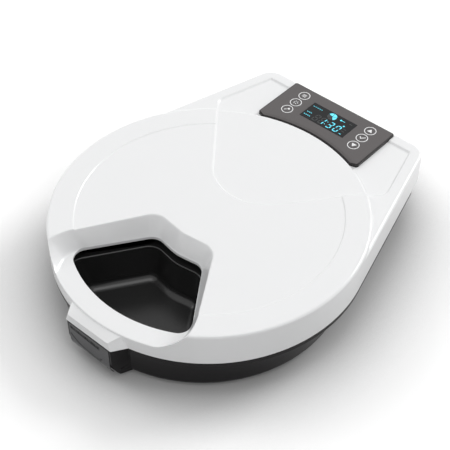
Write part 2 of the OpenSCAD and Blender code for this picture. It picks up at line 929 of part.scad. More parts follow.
module battery_cells() {
    pole_h = 1.2;
    pole_r = 2.7;
    color(cell_grey)
        for (x = [-cell_x, cell_x], y = cell_rows)
            translate([x - cell_len / 2, y, cells_z])
                rotate([0, 90, 0]) {
                    cylinder(cell_len - pole_h, r = cell_r, $fn = 48);
                    translate([0, 0, cell_len - pole_h - eps]) cylinder(pole_h, r = pole_r, $fn = 32);
                }
}

// Contact plate with a conical spring, turned as one piece with a groove between its coils
module battery_contact(length) {
    plate_t = 0.5;
    plate_half = 5;
    coil_r = [4.2, 2.6];
    coils = 3;
    step = (length - plate_t) / coils;
    translate([0, -plate_half, -plate_half]) cube([plate_t, 2 * plate_half, 2 * plate_half]);
    rotate([0, 90, 0])
        rotate_extrude($fn = 32)
            polygon(concat(
                [[0, 0]],
                [for (k = [0:coils - 1], e = [0.25, 0.75])
                    [between(coil_r, (k + e) / coils) - (e > 0.5 ? 0.9 : 0), plate_t + step * (k + e)]],
                [[coil_r[1], length], [0, length]]
            ));
}

module battery_contacts() {
    length = door_half - cell_x - cell_len / 2 - seat_gap;
    color(steel)
        for (side = [-1, 1], y = cell_rows)
            translate([side * door_half, y, cells_z]) mirror([side > 0 ? 1 : 0, 0, 0]) battery_contact(length);
}

module battery_door() {
    color(black)
        intersection() {
            base_moulding();
            door_zone(slide_gap);
        }
}

module bay_cover() {
    color(charcoal)
        slab(bay_z, bay_z + bay_t)
            difference() {
                polygon(base_plan(bay_z, base_wall + 2 * slide_gap));
                circle(well_r, $fn = 96);
                translate([-far / 2, bay_front_y - far]) square([far, far]);
                for (p = bay_holes) translate(p) circle(screw_r + 0.3, $fn = 24);
            }
}

module bay_screws() {
    shank = 6;
    color(steel)
        for (p = bay_holes)
            translate([p.x, p.y, bay_z + bay_t]) {
                cylinder(1.5, r = 2.6, $fn = 32);
                translate([0, 0, -shank]) cylinder(shank + eps, r = screw_r, $fn = 24);
            }
}

module contact_pins() {
    color(brass)
        for (x = [-6, 6])
            translate([x, keys_y, bay_z + bay_t]) {
                cylinder(base_top - bay_z - bay_t, r = 1.2, $fn = 32);
                cylinder(2.5, r = 2.2, $fn = 32);
            }
}

module hinge_pins() {
    pin_len = knuckle_w + 2 * lug_w + 2 * slide_gap;
    color(steel)
        for (side = [-1, 1])
            translate([side * hinge_x - pin_len / 2, hinge_y, hinge_z])
                rotate([0, 90, 0]) cylinder(pin_len, r = pin_r, $fn = 48);
}

module latch_pin() {
    pin_len = 2 * (flap_half + slide_gap + cheek_w) - 1;
    color(steel)
        translate([-pin_len / 2, latch_y, latch_z]) rotate([0, 90, 0]) cylinder(pin_len, r = pin_r, $fn = 48);
}

// Torsion spring around the latch pin, turned as one piece with grooves between its coils
module latch_spring() {
    half = 4;
    coils = 8;
    step = 2 * half / coils;
    inner = pin_r + 0.1;
    color(steel)
        translate([-half, latch_y, latch_z])
            rotate([0, 90, 0])
                rotate_extrude($fn = 32)
                    polygon(concat(
                        [[inner, 0]],
                        [for (k = [0:coils - 1], e = [0.2, 0.5, 0.8]) [inner + (e == 0.5 ? 1 : 0.6), step * (k + e)]],
                        [[inner, 2 * half]]
                    ));
}

module latch_flap() {
    levels = [flap_top, housing_turn_z, 20, 14, flap_low_z];
    rib_h = 4.5;
    rib_pitch = 2.4;
    rib_n = 16;
    arm_h = 4;
    color(charcoal)
        difference() {
            union() {
                translate([-flap_half, 0, 0])
                    rotate([90, 0, 90])
                        linear_extrude(2 * flap_half)
                            polygon(concat(
                                [for (z = levels) [-housing_front(z), z]],
                                [for (i = [len(levels) - 1:-1:0]) [-housing_front(levels[i]) + flap_t, levels[i]]]
                            ));
                translate([-flap_half, latch_y, latch_z])
                    rotate([0, 90, 0]) cylinder(2 * flap_half, r = ear_r, $fn = 48);
                translate([-flap_half, -housing_front(latch_z) + 1, latch_z - arm_h / 2])
                    cube([2 * flap_half, housing_front(latch_z) + latch_y - 1, arm_h]);
                translate([-flap_half + 8, flap_face_y + flap_t - eps, flap_top - 3])
                    cube([2 * flap_half - 16, ledge, 1.6]);
                for (k = [0:rib_n])
                    translate([(k - rib_n / 2) * rib_pitch - 0.5, flap_face_y - 0.4, flap_top - 1.2 - rib_h])
                        cube([1, 0.4 + eps, rib_h]);
            }
            translate([-far / 2, latch_y, latch_z])
                rotate([0, 90, 0]) cylinder(far, r = pin_r + run_gap, $fn = 48);
            translate([-5.5, latch_y - 5, latch_z - 5]) cube([11, 10, 10]);
        }
}

// Drive and food tray

module drive_spindle() {
    color(steel)
        union() {
            slab(floor_z + seat_gap, housing_top + bush_flange + seat_gap) circle(spindle_r, $fn = 48);
            slab(housing_top + bush_flange + seat_gap - eps, head_top)
                circle(head_r, $fn = 6);
        }
}

function turned(r, a) = [r * cos(a), r * sin(a)];
function involute_angle(rb, r) = let (a = acos(min(1, rb / r))) tan(a) * 180 / PI - a;

// Involute outline with a little backlash
function gear_outline(teeth, backlash) =
    let (
        rp = gear_module * teeth / 2,
        rb = rp * cos(20),
        ra = rp + gear_module,
        rf = rp - 1.25 * gear_module,
        low = max(rb, rf),
        radii = [low, (low + ra) / 2, ra],
        slack = backlash / rp * 90 / PI,
        half = [for (r = radii) 90 / teeth - slack + involute_angle(rb, rp) - involute_angle(rb, r)]
    )
    [for (k = [0:teeth - 1]) each concat(
        [turned(rf, 360 * k / teeth - half[0])],
        [for (i = [0:2]) turned(radii[i], 360 * k / teeth - half[i])],
        [for (i = [2:-1:0]) turned(radii[i], 360 * k / teeth + half[i])],
        [turned(rf, 360 * k / teeth + half[0])]
    )];

module drive_gear() {
    hub_r = 7;
    color(nylon)
        difference() {
            union() {
                slab(gear_z, gear_z + gear_width) polygon(gear_outline(gear_teeth, 0.12));
                slab(cam_z + cam_t, gear_z + gear_width + 3) circle(hub_r, $fn = 48);
            }
            cylinder(far, r = spindle_r + 0.02, $fn = 48);
        }
}

module motor_pinion() {
    color(brass)
        translate([0, shaft_gap, gear_z])
            difference() {
                rotate(180 / pinion_teeth)
                    linear_extrude(gear_width) polygon(gear_outline(pinion_teeth, 0.12));
                translate([0, 0, -1]) cylinder(far, r = 1.5 + run_gap, $fn = 32);
            }
}

// Disc with one notch for each meal, read by the index switch
module index_cam() {
    notch = 2;
    color(nylon)
        slab(cam_z - 2.8, cam_z + cam_t)
            difference() {
                circle(cam_r, $fn = 96);
                circle(spindle_r + 0.02, $fn = 48);
                for (k = [1:meals]) rotate(360 / meals * k + 36) translate([cam_r, 0]) circle(notch, $fn = 24);
            }
}

module meal_pocket(grow, top) {
    low = tray_bottom + tray_wall - grow;
    r = 9 + grow;
    intersection() {
        rotate_extrude($fn = 96)
            polygon(rounded([[meal_inner_r - 6 - grow, top], [meal_inner_r + 6 - grow, low],
                [meal_outer_r - 13 + grow, low], [meal_outer_r + grow, top]], [0, r, r, 0], 6));
        slab(low - 1, top)
            polygon(slice_plan(meal_inner_r - grow, -meal_inner_r + bump_rise + grow, 15 + grow, meal_angle, grow,
                meal_outer_r + 2 + grow, 14 + grow));
    }
}

module food_tray() {
    bead = 1.6;
    color(black)
        difference() {
            union() {
                slab(tray_top - tray_wall, tray_top) circle(tray_r, $fn = 96);
                translate([0, 0, tray_top - bead])
                    rotate_extrude($fn = 96) translate([tray_r - bead, 0]) circle(bead, $fn = 24);
                for (k = [0:meals - 1]) rotate(360 / meals * k) meal_pocket(tray_wall, tray_top);
                slab(housing_top + bush_flange + 1, tray_top - 0.5) circle(head_r + 3, $fn = 48);
            }
            for (k = [0:meals - 1]) rotate(360 / meals * k) meal_pocket(0, tray_top + 0.5);
            slab(housing_top, head_top + seat_gap) circle(head_r + 0.15, $fn = 6);
        }
}

// The whole feeder, with its origin under the middle of its bounding box
module placed() {
    translate([0, -origin_y, 0]) children();
}

placed() base_tub();
placed() rubber_feet();
placed() drive_housing();
placed() housing_screws();
placed() gear_motor();
placed() spindle_bushes();
placed() index_switch();
placed() battery_box();
placed() battery_cells();
placed() battery_contacts();
placed() bay_cover();
placed() bay_screws();
placed() contact_pins();
placed() hinge_pins();
placed() latch_pin();
placed() latch_spring();
placed() drive_spindle();
placed() drive_gear();
placed() index_cam();
placed() food_tray();
placed() motor_pinion();
placed() cover_shell();
placed() cover_hinges();
placed() hinge_screws();
placed() cover_catch();
placed() control_panel();
placed() display_window();
placed() lcd_module();
placed() circuit_board();
placed() board_screws();
placed() tact_switches();
placed() contact_block();
placed() key(-key_half, 1);  // mode_key
placed() key(-key_half, 0);  // set_key
placed() key(-key_half, -1);  // view_key
placed() key(key_half, 1);  // up_key
placed() key(key_half, 0);  // ok_key
placed() key(key_half, -1);  // down_key
placed() latch_flap();
placed() battery_door();
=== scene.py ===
"""Looks of a timed pet feeder with a rotating tray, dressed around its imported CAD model.

Shapes are worked out in millimetres about the tray's axis, with the front at -Y and heights
from the table, and they go into the frame's metres when a piece is made.
"""

from __future__ import annotations

import json
import logging
import math
from collections.abc import Sequence
from dataclasses import dataclass, field
from enum import Enum

import bmesh
import bpy
import numpy as np
from mathutils import Matrix, Vector
from mathutils.geometry import delaunay_2d_cdt

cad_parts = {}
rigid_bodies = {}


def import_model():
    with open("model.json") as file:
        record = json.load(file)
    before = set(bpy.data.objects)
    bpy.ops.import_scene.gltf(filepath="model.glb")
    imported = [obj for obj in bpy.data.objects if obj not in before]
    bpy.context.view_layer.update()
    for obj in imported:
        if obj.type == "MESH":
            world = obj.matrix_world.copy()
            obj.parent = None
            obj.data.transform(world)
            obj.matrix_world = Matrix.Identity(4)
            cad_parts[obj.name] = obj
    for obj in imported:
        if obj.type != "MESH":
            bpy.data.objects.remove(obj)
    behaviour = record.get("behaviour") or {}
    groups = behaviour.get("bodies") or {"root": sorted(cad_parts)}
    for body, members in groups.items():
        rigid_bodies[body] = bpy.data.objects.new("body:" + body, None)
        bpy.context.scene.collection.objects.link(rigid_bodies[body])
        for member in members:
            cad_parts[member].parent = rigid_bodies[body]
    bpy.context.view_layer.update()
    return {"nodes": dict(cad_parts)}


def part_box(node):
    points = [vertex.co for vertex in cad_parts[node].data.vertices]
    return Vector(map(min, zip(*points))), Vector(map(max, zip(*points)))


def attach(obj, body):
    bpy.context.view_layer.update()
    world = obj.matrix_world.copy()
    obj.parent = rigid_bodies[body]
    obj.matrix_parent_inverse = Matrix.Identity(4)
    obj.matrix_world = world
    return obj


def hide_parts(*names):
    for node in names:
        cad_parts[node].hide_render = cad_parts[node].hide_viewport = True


for leftover in list(bpy.data.objects):
    bpy.data.objects.remove(leftover)
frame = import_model()

LOG = logging.getLogger("feeder")
MM = 0.001
TRAY_AXIS_Y = sum(corner.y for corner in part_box("food_tray")) / 2
WELD = 2e-6
QUARTER = np.radians(np.linspace(0, 90, 7))
NOISE_RANGE = (0.3, 0.7)

Socket, Node, Mesh, Piece = bpy.types.NodeSocket, bpy.types.Node, bpy.types.Mesh, bpy.types.Object
Points = np.ndarray
Faces = list[tuple[int, ...]]
Spot = Sequence[float]
Line = tuple[Points, bool]


class Body(Enum):
    """The CAD bodies that pieces ride on."""

    BASE = "base"
    TRAY = "tray"
    PINION = "pinion"
    COVER = "cover"
    LATCH = "latch"
    DOOR = "door"


# Finishes


class Shader:
    """A material's node tree, built with short calls."""

    def __init__(self, name: str) -> None:
        """Starts an empty tree with its output and a Principled shader.

        Args:
            name: The material's name.
        """
        self.material = bpy.data.materials.new(name)
        self.material.use_nodes = True
        self.tree = self.material.node_tree
        self.tree.nodes.clear()
        self.surface = self.add("ShaderNodeBsdfPrincipled")
        self.output = self.add("ShaderNodeOutputMaterial")
        self.join(self.surface.outputs[0], self.output.inputs["Surface"])
        self.place = self.add("ShaderNodeTexCoord").outputs["Object"]

    def add(self, kind: str, **values: object) -> Node:
        """Adds a node and sets the inputs that are named, with underscores for spaces.

        Args:
            kind: The node's type.
            values: A value for each named input.

        Returns:
            The node.
        """
        node = self.tree.nodes.new(kind)
        for name, value in values.items():
            node.inputs[name.replace("_", " ")].default_value = value
        return node

    def join(self, output: Socket, entry: Socket) -> None:
        """Links one socket to another."""
        self.tree.links.new(output, entry)

    def noise(self, scale: float, detail: float = 2.0, stretch: Spot = (1, 1, 1)) -> Socket:
        """A noise over the piece.

        Args:
            scale: Cells per metre.
            detail: Octaves of finer noise.
            stretch: Share of the scale along each axis.

        Returns:
            The noise's value.
        """
        mapping = self.add("ShaderNodeMapping", Scale=stretch)
        self.join(self.place, mapping.inputs["Vector"])
        texture = self.add("ShaderNodeTexNoise", Scale=scale, Detail=detail)
        self.join(mapping.outputs[0], texture.inputs["Vector"])
        return texture.outputs["Fac"]

    def ramp(self, value: Socket, start: Spot, end: Spot) -> Socket:
        """Maps one range of a value to another.

        Args:
            value: The value.
            start: Ends of its range.
            end: What they become.

        Returns:
            The mapped value.
        """
        node = self.add("ShaderNodeMapRange")
        for index, number in enumerate((*start, *end), 1):
            node.inputs[index].default_value = number
        self.join(value, node.inputs[0])
        return node.outputs[0]

    def smears(self, low: float, high: float) -> None:
        """Varies the surface's roughness between a low and a high value, in long smears."""
        smears = self.noise(60.0, 4.0, (1, 0.25, 1))
        self.join(self.ramp(smears, NOISE_RANGE, (low, high)), self.surface.inputs["Roughness"])

    def set(self, **values: object) -> None:
        """Sets plain values on the surface, with underscores for spaces."""
        for name, value in values.items():
            self.surface.inputs[name.replace("_", " ")].default_value = value

    def tint(self, factor: Socket, first: Spot, second: Spot) -> None:
        """Colours the surface between two colours.

        Args:
            factor: Share of the second colour.
            first: The first colour.
            second: The second colour.
        """
        mix = self.add("ShaderNodeMix")
        mix.data_type = "RGBA"
        mix.inputs[6].default_value = (*first, 1)
        mix.inputs[7].default_value = (*second, 1)
        self.join(factor, mix.inputs[0])
        self.join(mix.outputs[2], self.surface.inputs["Base Color"])

    def bump(self, heights: Sequence[tuple[Socket, float]]) -> None:
        """Gives the surface a relief of one or more heights, each with its depth in metres.

        Args:
            heights: The heights with their depths.
        """
        below = None
        for value, depth in heights:
            node = self.add("ShaderNodeBump", Strength=1.0, Distance=depth)
            self.join(value, node.inputs["Height"])
            if below is not None:
                self.join(below, node.inputs["Normal"])
            below = node.outputs[0]
        self.join(below, self.surface.inputs["Normal"])


@dataclass(frozen=True)
class Moulded:
    """Moulded plastic or rubber.

    The colour varies by a share of itself, and the gloss between two roughness values.
    """

    name: str
    slot: str
    colour: tuple[float, float, float]
    rough: tuple[float, float]
    vary: float = 0.03
    grain: float = 1500.0
    grain_depth: float = 2e-6
    coat: float = 0.0
    sheen: float = 0.0
    shine: float = 0.5

    def material(self) -> bpy.types.Material:
        """Builds the material.

        Returns:
            The material.
        """
        shader = Shader(self.name)
        ends = [[min(1.0, c * (1 + vary)) for c in self.colour] for vary in (-self.vary, self.vary)]
        shader.tint(shader.noise(28.0, 3.0), *ends)
        shader.smears(*self.rough)
        shader.bump([(shader.noise(45.0, 1.0), 6e-5), (shader.noise(self.grain, 2.0), self.grain_depth)])
        shader.set(Specular_IOR_Level=self.shine, Sheen_Weight=self.sheen)
        shader.set(Coat_Weight=self.coat, Coat_Roughness=0.08)
        return shader.material


@dataclass(frozen=True)
class Metal:
    """Plated or machined metal with fine lines along one axis."""

    name: str
    slot: str
    colour: tuple[float, float, float]
    rough: tuple[float, float]
    lines: tuple[float, float, float] = (1.0, 1.0, 0.08)

    def material(self) -> bpy.types.Material:
        """Builds the material.

        Returns:
            The material.
        """
        shader = Shader(self.name)
        shader.set(Metallic=1.0)
        shader.tint(shader.noise(90.0), [c * 0.9 for c in self.colour], self.colour)
        lines = shader.noise(2600.0, 2.0, self.lines)
        shader.join(shader.ramp(lines, NOISE_RANGE, self.rough), shader.surface.inputs["Roughness"])
        shader.bump([(lines, 3e-6)])
        return shader.material


@dataclass(frozen=True)
class Glow:
    """Marks that shine through a display, or faint ones that don't."""

    name: str
    slot: str
    colour: tuple[float, float, float]
    strength: float

    def material(self) -> bpy.types.Material:
        """Builds the material.

        Returns:
            The material.
        """
        shader = Shader(self.name)
        shader.tint(shader.noise(3000.0), [c * 0.94 for c in self.colour], self.colour)
        shader.set(Roughness=0.3, Emission_Color=(*self.colour, 1), Emission_Strength=self.strength)
        return shader.material


class Finish(Enum):
    """Every finish on the feeder."""

    COVER_WHITE = Moulded("cover_white", "white_abs", (0.86, 0.865, 0.87), (0.30, 0.40), 0.006, coat=0.5)
    BASE_BLACK = Moulded("base_black", "black_abs", (0.010, 0.009, 0.010), (0.16, 0.26), 0.08, shine=0.14)
    INNER_BLACK = Moulded("inner_black", "black_abs", (0.030, 0.030, 0.031), (0.36, 0.50), 0.08)
    TRAY_BLACK = Moulded("tray_black", "tray_black", (0.014, 0.014, 0.015), (0.13, 0.22), 0.08, shine=0.4)
    CHARCOAL = Moulded("charcoal", "charcoal_abs", (0.050, 0.050, 0.052), (0.42, 0.55), 0.06, 900.0, 6e-6)
    # Darkened copy of the latch's grey: painted shade on the latch's sides, its ribs and behind its groove.
    LATCH_PAINTED_SHADE = Moulded("latch_grey_painted_shade", "latch_grey", (0.012, 0.012, 0.013), (0.20, 0.30), 0.05, shine=0.3)
    LATCH_GREY = Moulded("latch_grey", "latch_grey", (0.070, 0.069, 0.071), (0.22, 0.32), 0.05, shine=0.35)
    # Darkened copy of the panel's grey: painted shade on the panel's rolled edge band and in its openings.
    PANEL_PAINTED_SHADE = Moulded("panel_grey_painted_shade", "panel_grey", (0.016, 0.014, 0.014), (0.24, 0.34), 0.05, shine=0.3)
    PANEL_GREY = Moulded(
        "panel_grey", "panel_grey", (0.088, 0.081, 0.081), (0.30, 0.38), 0.03, 2600.0, 3e-6
    )
    LEGEND = Moulded("legend_print", "key_grey", (0.84, 0.84, 0.85), (0.45, 0.55), 0.02)
    KEY = Moulded("key_cap", "key_grey", (0.088, 0.081, 0.081), (0.30, 0.38), 0.03, 2600.0, 3e-6)
    SCREEN = Moulded(
        "screen_glass", "display_glass", (0.005, 0.006, 0.007), (0.05, 0.09), 0.05, 300.0, 1e-8, shine=0.3
    )
    LCD_BODY = Moulded("screen_body", "lcd_blue", (0.030, 0.034, 0.038), (0.30, 0.40), 0.05)
    BOARD = Moulded("board_green", "board_green", (0.030, 0.130, 0.060), (0.35, 0.50), 0.15, 700.0, 1e-5)
    CELL = Moulded("cell_wrap", "cell_wrap", (0.170, 0.180, 0.200), (0.18, 0.28), 0.05)
    NYLON = Moulded("nylon", "nylon", (0.700, 0.660, 0.540), (0.40, 0.50), 0.04)
    RUBBER = Moulded("rubber", "rubber", (0.028, 0.028, 0.028), (0.70, 0.85), 0.15, 500.0, 2e-5, sheen=0.2)
    STEEL = Metal("steel", "steel", (0.600, 0.610, 0.630), (0.22, 0.42))
    BRASS = Metal("brass", "brass", (0.720, 0.540, 0.240), (0.20, 0.38))
    LIT = Glow("screen_lit", "lcd_blue", (0.110, 0.620, 0.760), 0.75)
    GHOST = Glow("screen_ghost", "lcd_blue", (0.035, 0.040, 0.042), 0.0)

    def dress(self) -> bpy.types.Material:
        """Gives the finish's material, which is built once."""
        return bpy.data.materials.get(self.value.name) or self.value.material()


# Outlines, as points in millimetres


def arc(centre: Spot, radius: float, start: float, end: float, steps: int) -> Points:
    """Points along an arc, whose start and end are in degrees.

    Args:
        centre: The arc's centre.
        radius: Its radius.
        start: Direction of its first point.
        end: Direction of its last point.
        steps: Steps between them.

    Returns:
        The points, one more than the steps.
    """
    turns = np.radians(np.linspace(start, end, steps + 1))
    return np.array(centre, float) + radius * np.stack([np.cos(turns), np.sin(turns)], 1)


def circle(centre: Spot, radius: float, steps: int) -> Points:
    """Points round a circle, anticlockwise."""
    return arc(centre, radius, 0, 360, steps)[:-1]


def between(ends: Spot, share: float) -> float:
    """Value at a share of the way from one end to the other."""
    return ends[0] + share * (ends[1] - ends[0])


def direction(degrees: float) -> Points:
    """Unit vector at an angle from +X."""
    return np.array([math.cos(math.radians(degrees)), math.sin(math.radians(degrees))])


def box_outline(width: float, height: float, centre: Spot = (0, 0)) -> Points:
    """Outline of an upright rectangle."""
    unit = np.array([[-1, -1], [1, -1], [1, 1], [-1, 1]])
    return unit * [width / 2, height / 2] + np.array(centre, float)


def mirrored(places: Sequence[Spot]) -> list[Spot]:
    """Each place twice, on the left and on the right."""
    return [(side * x, *rest) for x, *rest in places for side in (-1, 1)]


def outward(edges: Points) -> Points:
    """Unit normals on the right of some edges."""
    return np.stack([edges[:, 1], -edges[:, 0]], 1) / np.linalg.norm(edges, axis=1)[:, None]


def grown(outline: Points, distance: float) -> Points:
    """Moves an anticlockwise outline outwards by a small distance.

    Args:
        outline: The outline.
        distance: How far it moves, below nought for inwards.

    Returns:
        The moved outline.
    """
    normals = [outward(outline - np.roll(outline, 1, 0)), outward(np.roll(outline, -1, 0) - outline)]
    total = normals[0] + normals[1]
    return outline + distance * total / np.maximum(0.3, 1 + (normals[0] * normals[1]).sum(1))[:, None]


def rounded(corners: Sequence[Spot], radii: Spot, steps: int) -> Points:
    """Closed outline whose corners are rounded.

    Args:
        corners: The sharp corners, in order.
        radii: Radius of each corner, nought for a sharp one.
        steps: Steps round each corner.

    Returns:
        The outline's points.
    """
    points: list[Points] = []
    corners = np.array(corners, float)
    for index, (corner, radius) in enumerate(zip(corners, radii)):
        if radius <= 0:
            points.append(corner[None])
            continue
        u = corners[index - 1] - corner
        v = corners[(index + 1) % len(corners)] - corner
        u, v = u / np.linalg.norm(u), v / np.linalg.norm(v)
        half = math.acos(float(np.clip(u @ v, -1, 1))) / 2
        middle = corner + (u + v) / np.linalg.norm(u + v) * radius / math.sin(half)
        first, last = (corner + side * radius / math.tan(half) - middle for side in (u, v))
        start = math.degrees(math.atan2(first[1], first[0]))
        turn = math.degrees(math.atan2(first[0] * last[1] - first[1] * last[0], first @ last))
        points.append(arc(middle, radius, start, start + turn, steps))
    return np.concatenate(points)


def both_sides(half: Points, closed: bool) -> Points:
    """Whole outline from its right half, which ends on the middle line if it is closed."""
    mirrored = half[1 : -1 if closed else len(half)] * [-1, 1]
    return np.concatenate([half[::-1], mirrored])


def inner_edge(inner: float, top_y: float, radius: float, angle: float, offset: float) -> Points:
    """Right half of a slice's inner edge: inner arc, bump, then the end of the side's corner.

    Args:
        inner: Radius of the inner arc.
        top_y: Highest point of the bump.
        radius: Radius of the bump.
        angle: Half angle of the sides.
        offset: Set-out of the sides from a radial line.

    Returns:
        The edge's points.
    """
    tilt = math.radians(angle)
    centre_y = top_y - radius
    centre = np.array([(offset - radius - centre_y * math.sin(tilt)) / math.cos(tilt), centre_y])
    reach = math.acos((inner + radius) / float(np.linalg.norm(centre)))
    turn = math.degrees(math.atan2(centre[1], centre[0]) - reach)
    return np.concatenate([arc((0, 0), inner, -90, turn, 5), arc(centre, radius, turn + 180, angle, 12)])


def slice_plan(
    inner: float, top_y: float, radius: float, angle: float, offset: float, outer: float, corner: float
) -> Points:
    """Opening shaped like one slice of the tray, with rounded corners.

    Args:
        inner: Radius of the inner arc.
        top_y: Highest point of the inner bumps.
        radius: Radius of the bumps.
        angle: Half angle of the sides.
        offset: Set-out of the sides from a radial line.
        outer: Radius of the outer arc.
        corner: Radius of the outer corners.

    Returns:
        The outline, anticlockwise.
    """
    along = math.sqrt((outer - corner) ** 2 - (offset - corner) ** 2)
    centre = direction(angle) * (offset - corner) + direction(angle - 90) * along
    turn = math.degrees(math.atan2(centre[1], centre[0]))
    half = np.concatenate([
        inner_edge(inner, top_y, radius, angle, offset),
        arc(centre, corner, angle, turn, 10),
        arc((0, 0), outer, turn, -90, 14)[1:],
    ])
    return both_sides(half, True)


def teardrop(radius: float, centre_y: float, corner: Spot, corner_r: float) -> Points:
    """Round front and two rear corners, joined by straight sides.

    Args:
        radius: Radius of the front.
        centre_y: Place of the front's centre.
        corner: Centre of the right rear corner.
        corner_r: Radius of the rear corners.

    Returns:
        The outline, anticlockwise.
    """
    turn = side_turn(radius, centre_y, corner, corner_r)
    return np.concatenate([
        arc((0, centre_y), radius, 180 - turn, 360 + turn, 132),
        arc(corner, corner_r, turn, 90, 12),
        arc((-corner[0], corner[1]), corner_r, 90, 180 - turn, 12),
    ])


def side_turn(radius: float, centre_y: float, corner: Spot, corner_r: float) -> float:
    """Direction in degrees in which a teardrop's straight side faces."""
    x, y = corner[0], corner[1] - centre_y
    return math.degrees(math.atan2(y, x) - math.acos((radius - corner_r) / math.hypot(x, y)))


def depth_inside(points: Points, outline: Points) -> Points:
    """Distance of each point from an outline, positive inside it.

    Args:
        points: Points in plan.
        outline: The outline.

    Returns:
        The distances.
    """
    start, end = outline, np.roll(outline, -1, 0)
    edge = end - start
    length = (edge**2).sum(1)
    result = np.empty(len(points))
    for first in range(0, len(points), 3000):
        p = points[first : first + 3000, None, :]
        along = np.clip(((p - start) * edge).sum(2) / length, 0, 1)
        gap = np.linalg.norm(p - start - along[..., None] * edge, axis=2).min(1)
        rises = (start[:, 1] > p[..., 1]) != (end[:, 1] > p[..., 1])
        climb = np.where(edge[:, 1] == 0, 1e-12, edge[:, 1])
        crossed = rises & (p[..., 0] < edge[:, 0] * (p[..., 1] - start[:, 1]) / climb + start[:, 0])
        result[first : first + 3000] = np.where(crossed.sum(1) % 2 == 1, gap, -gap)
    return result


# Shapes of edges and of a surface's height


def edge_steps(radius: float, turns: Points = QUARTER) -> list[tuple[float, float]]:
    """Insets and drops along a rounded edge, from its side to its top."""
    return [(radius * (1 - math.cos(turn)), radius * (1 - math.sin(turn))) for turn in turns]


def edge_drop(inside: Points, radius: float) -> Points:
    """Drop of a rounded edge at a distance inside it."""
    t = np.clip(inside, 0, radius)
    return radius - np.sqrt(np.maximum(0, radius**2 - (radius - t) ** 2))


def step_up(distance: Points, half: float) -> Points:
    """Soft step from nought to one across a line."""
    t = np.clip((distance + half) / (2 * half), 0, 1)
    return t * t * (3 - 2 * t)


def soft_min(a: Points, b: Points, reach: float) -> Points:
    """Lower of two surfaces, with a rounded edge where they meet."""
    h = np.clip(0.5 + 0.5 * (b - a) / reach, 0, 1)
    return b + h * (a - b) - reach * h * (1 - h)


def soft_max(a: Points, b: Points, reach: float) -> Points:
    """Higher of two surfaces, with a hollow fillet where they meet."""
    return -soft_min(-a, -b, reach)


# Meshes


class Draft:
    """Points and faces gathered for one piece, in millimetres about the tray's axis."""

    def __init__(self) -> None:
        """Starts empty."""
        self.points: list[Points] = []
        self.faces: Faces = []
        self.count = 0

    def add(self, points: Points, faces: Sequence[Sequence[int]]) -> Draft:
        """Adds points, and faces that count from the first of them.

        Args:
            points: The points.
            faces: Each face's points.

        Returns:
            The draft.
        """
        self.points.append(np.asarray(points, float))
        self.faces += [tuple(int(i) + self.count for i in face) for face in faces]
        self.count += len(points)
        return self

    def loft(
        self, rings: Sequence[Points], closed: bool = True, caps: Sequence[bool] = (False, False)
    ) -> Draft:
        """Adds a skin through rings that have as many points each.

        Args:
            rings: Rings of points in space, in order.
            closed: Whether each ring joins up.
            caps: Whether the first and the last ring are filled.

        Returns:
            The draft.
        """
        n = len(rings[0])
        faces: Faces = []
        for j in range(len(rings) - 1):
            for i in range(n if closed else n - 1):
                k = (i + 1) % n
                faces.append((j * n + i, j * n + k, (j + 1) * n + k, (j + 1) * n + i))
        if caps[0]:
            faces.append(tuple(range(n - 1, -1, -1)))
        if caps[1]:
            faces.append(tuple(range((len(rings) - 1) * n, len(rings) * n)))
        return self.add(np.concatenate(rings), faces)

    def plate(self, outline: Points, low: float, high: float, edge: float = 0.0) -> Draft:
        """Adds a flat plate with rounded top edges.

        Args:
            outline: The plate's outline.
            low: Height of its underside.
            high: Height of its top.
            edge: Radius of its top edges.

        Returns:
            The draft.
        """
        rings = [level(outline, low)]
        for inset, drop in edge_steps(edge, QUARTER[::2] if edge else QUARTER[:1]):
            rings.append(level(grown(outline, -inset) if inset else outline, high - drop))
        return self.loft(rings, caps=(True, True))

    def turned(self, profile: Sequence[Spot], steps: int, centre: Spot = (0, 0)) -> Draft:
        """Adds a shape turned round an upright axis, from radii and heights that start and end on it.

        Args:
            profile: Radii with their heights.
            steps: Steps round the axis.
            centre: Where the axis stands.

        Returns:
            The draft.
        """
        rings = [level(circle(centre, max(radius, 1e-4), steps), z) for radius, z in profile]
        return self.loft(rings, caps=(True, True))

    def walls(self, triangles: Points, tops: Points, lows: Points) -> Draft:
        """Joins the borders of two sheets that share a plan, from the points of each.

        Args:
            triangles: Triangles of both sheets.
            tops: Points of one.
            lows: Points of the other.

        Returns:
            The draft.
        """
        for index in border_loops(triangles):
            self.loft([tops[index], lows[index]])
        return self

    def mesh(self, name: str, outward: bool = True) -> Mesh:
        """Makes a welded mesh in the frame's metres.

        Args:
            name: The mesh's name.
            outward: Whether its faces are turned outwards.

        Returns:
            The mesh.
        """
        points = np.concatenate(self.points)
        mesh = bpy.data.meshes.new(name)
        mesh.from_pydata((points * MM + [0, TRAY_AXIS_Y, 0]).tolist(), [], self.faces)
        clean(mesh, outward)
        return mesh


def level(outline: Points, z: float | Points) -> Points:
    """Outline lifted to one height, or each of its points to its own."""
    return np.column_stack([outline, np.broadcast_to(z, len(outline))])


def clean(mesh: Mesh, outward: bool) -> None:
    """Welds a mesh, drops faces without area, and turns its faces outwards.

    Args:
        mesh: The mesh, which is changed.
        outward: Whether its faces are turned.
    """
    bm = bmesh.new()
    bm.from_mesh(mesh)
    bmesh.ops.remove_doubles(bm, verts=bm.verts, dist=WELD)
    bmesh.ops.dissolve_degenerate(bm, edges=bm.edges, dist=1e-7)
    if bm.faces:
        bmesh.ops.delete(bm, geom=[v for v in bm.verts if not v.link_faces], context="VERTS")
    if outward:
        bmesh.ops.recalc_face_normals(bm, faces=bm.faces)
    bm.to_mesh(mesh)
    bm.free()


